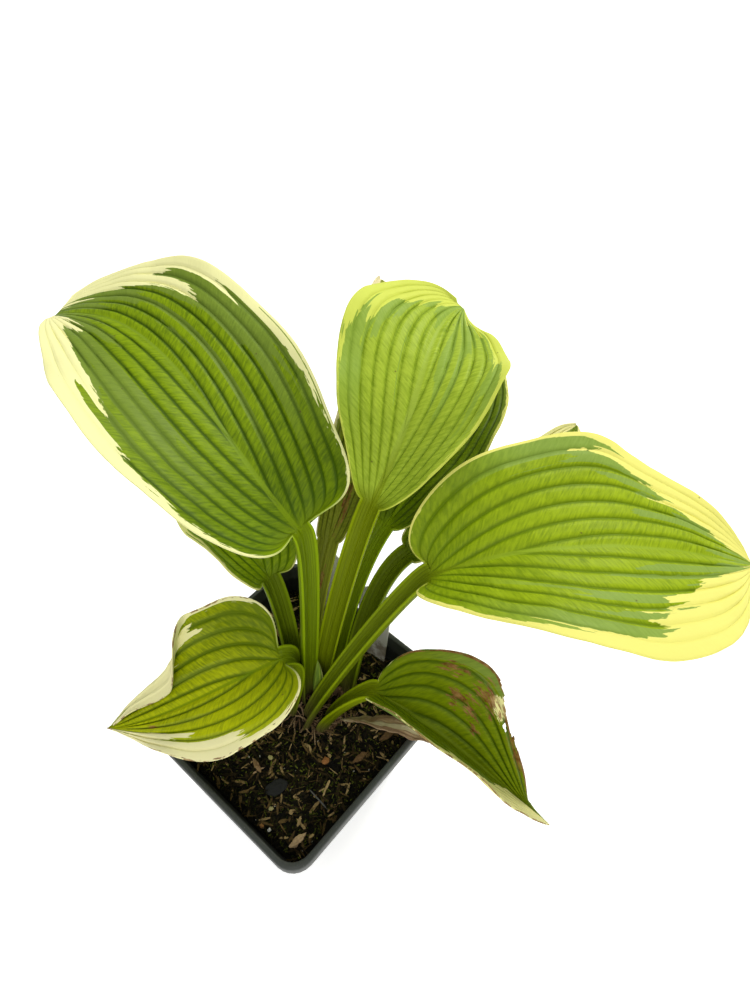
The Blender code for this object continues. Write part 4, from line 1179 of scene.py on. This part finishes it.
def make_bit(name, slot, place, size, turn, stops, tint, seed):
    """A small stone, chip or twig lying on the mix: a rough ball stretched to its size."""
    shape = bmesh.new()
    bmesh.ops.create_icosphere(shape, subdivisions=3, radius=0.5)
    points, faces = points_and_faces(shape)
    points = points * (1 + rolling(points, 0.4, seed) * 0.5)[:, None] * size
    turned = math.radians(turn)
    cos, sin = math.cos(turned), math.sin(turned)
    points = points @ np.array([[cos, sin, 0.0], [-sin, cos, 0.0], [0.0, 0.0, 1.0]]) + place
    piece = mesh_piece(name + "_bit", points, faces, crumb_finish(name, stops), {"tint": tint}, False)
    return hand_in(piece, "potting_mix")


make_shoot()
make_stub()
make_withered_leaf()
for label_name, (top, turn, lean) in LABELS.items():
    make_label(label_name, top, turn, lean)

LUMPS = {
    # name: (slot, colours, tint, taper)
    "bark_chip_front": ("bark", CHIP_STOPS, 0.55, 0.7),
    "bark_chip_left": ("bark", CHIP_STOPS, 0.7, 0.8),
    "bark_chip_right": ("bark", CHIP_STOPS, 0.45, 0.7),
    "bark_chip_rear": ("bark", CHIP_STOPS, 0.4, 0.7),
    "bark_chip_corner": ("bark", CHIP_STOPS, 0.95, 0.5),
    "pebble_grey": ("stone", SLATE_STOPS, 0.5, 0.2),
    "pebble_tan": ("stone", STONE_STOPS, 0.6, 0.2),
    "perlite_grain_large": ("perlite", MOSSY_STOPS, 0.7, 0.1),
}
for seed, (lump_name, lump) in enumerate(LUMPS.items()):
    make_lump(lump_name, *lump, seed)

BITS = {
    # name: (slot, place, size, turn, colours, tint)
    "twig": ("bark", (39, -24, 85.6), (12.0, 0.6, 0.6), -4, TWIG_STOPS, 0.8),
    "orange_stone": ("stone", (27, -49, 84.6), (2.2, 1.8, 1.6), 20, STONE_STOPS, 0.8),
    "white_grain": ("perlite", (31, -48, 84.8), (1.8, 1.5, 1.3), 70, GRAIN_STOPS, 0.95),
    "mossy_grain": ("perlite", (25, -41, 84.8), (2.2, 1.8, 1.5), 40, MOSSY_STOPS, 0.8),
    "pale_sliver": ("bark", (8, -33, 85.0), (5.5, 0.9, 0.7), 70, CHIP_STOPS, 0.9),
}
for seed, (bit_name, bit) in enumerate(BITS.items()):
    make_bit(bit_name, *bit, seed)


# ---- Floor, light and camera ----

FLOOR_HALF = 2500
LIGHTS = {
    # name: (place, what it points at, diameter, power, colour)
    "window_light": ((-0.2, 1.4, 1.3), (0.0, 0.05, 0.15), 0.7, 24.0, (1.0, 0.99, 0.96)),
    "fill_light": ((0.9, -0.9, 1.2), (0.0, 0.0, 0.12), 1.0, 9.0, (1.0, 1.0, 1.0)),
    "top_light": ((0.1, -0.5, 1.8), (0.0, 0.0, 0.1), 1.4, 5.0, (1.0, 1.0, 1.0)),
}
WORLD_STRENGTH = 0.36
CAMERA_PLACE = (0.1245, -0.0825, 0.4427)
CAMERA_TILT = 37.5
CAMERA_TURN = 41.25
LENS = 27.0


def make_floor():
    bench = Finish("studio_floor", roughness=0.7, glow_colour=(1.0, 1.0, 1.0, 1.0), glow=0.55)
    grain = bench.noise(bench.place(), 4.0, 3.0)
    finish = bench.feed(base_color=bench.mix(grain, (0.86, 0.86, 0.85), (0.90, 0.90, 0.89)))
    corners = [(-FLOOR_HALF, -FLOOR_HALF, 0), (FLOOR_HALF, -FLOOR_HALF, 0),
               (FLOOR_HALF, FLOOR_HALF, 0), (-FLOOR_HALF, FLOOR_HALF, 0)]
    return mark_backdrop(mesh_piece("studio_floor", corners, [(0, 1, 2, 3)], finish, smooth=False))


def area_light(name, place, aim, size, power, colour):
    light = bpy.data.lights.new(name, "AREA")
    light.shape = "DISK"
    light.size = size
    light.energy = power
    light.color = colour
    lamp = bpy.data.objects.new(name, light)
    bpy.context.scene.collection.objects.link(lamp)
    lamp.location = place
    lamp.rotation_euler = (Vector(aim) - Vector(place)).to_track_quat("-Z", "Y").to_euler()


make_floor()
for light_name, settings in LIGHTS.items():
    area_light(light_name, *settings)

world = bpy.data.worlds.new("studio")
bpy.context.scene.world = world
world.use_nodes = True
background = world.node_tree.nodes["Background"].inputs
background["Color"].default_value = (1.0, 1.0, 1.0, 1.0)
background["Strength"].default_value = WORLD_STRENGTH

camera_data = bpy.data.cameras.new("view")
camera_data.lens = LENS
camera_data.sensor_width = 36.0
camera = bpy.data.objects.new("view", camera_data)
bpy.context.scene.collection.objects.link(camera)
camera.location = CAMERA_PLACE
camera.rotation_euler = (math.radians(CAMERA_TILT), 0.0, math.radians(CAMERA_TURN))
bpy.context.scene.camera = camera
bpy.context.scene.view_settings.view_transform = "Standard"
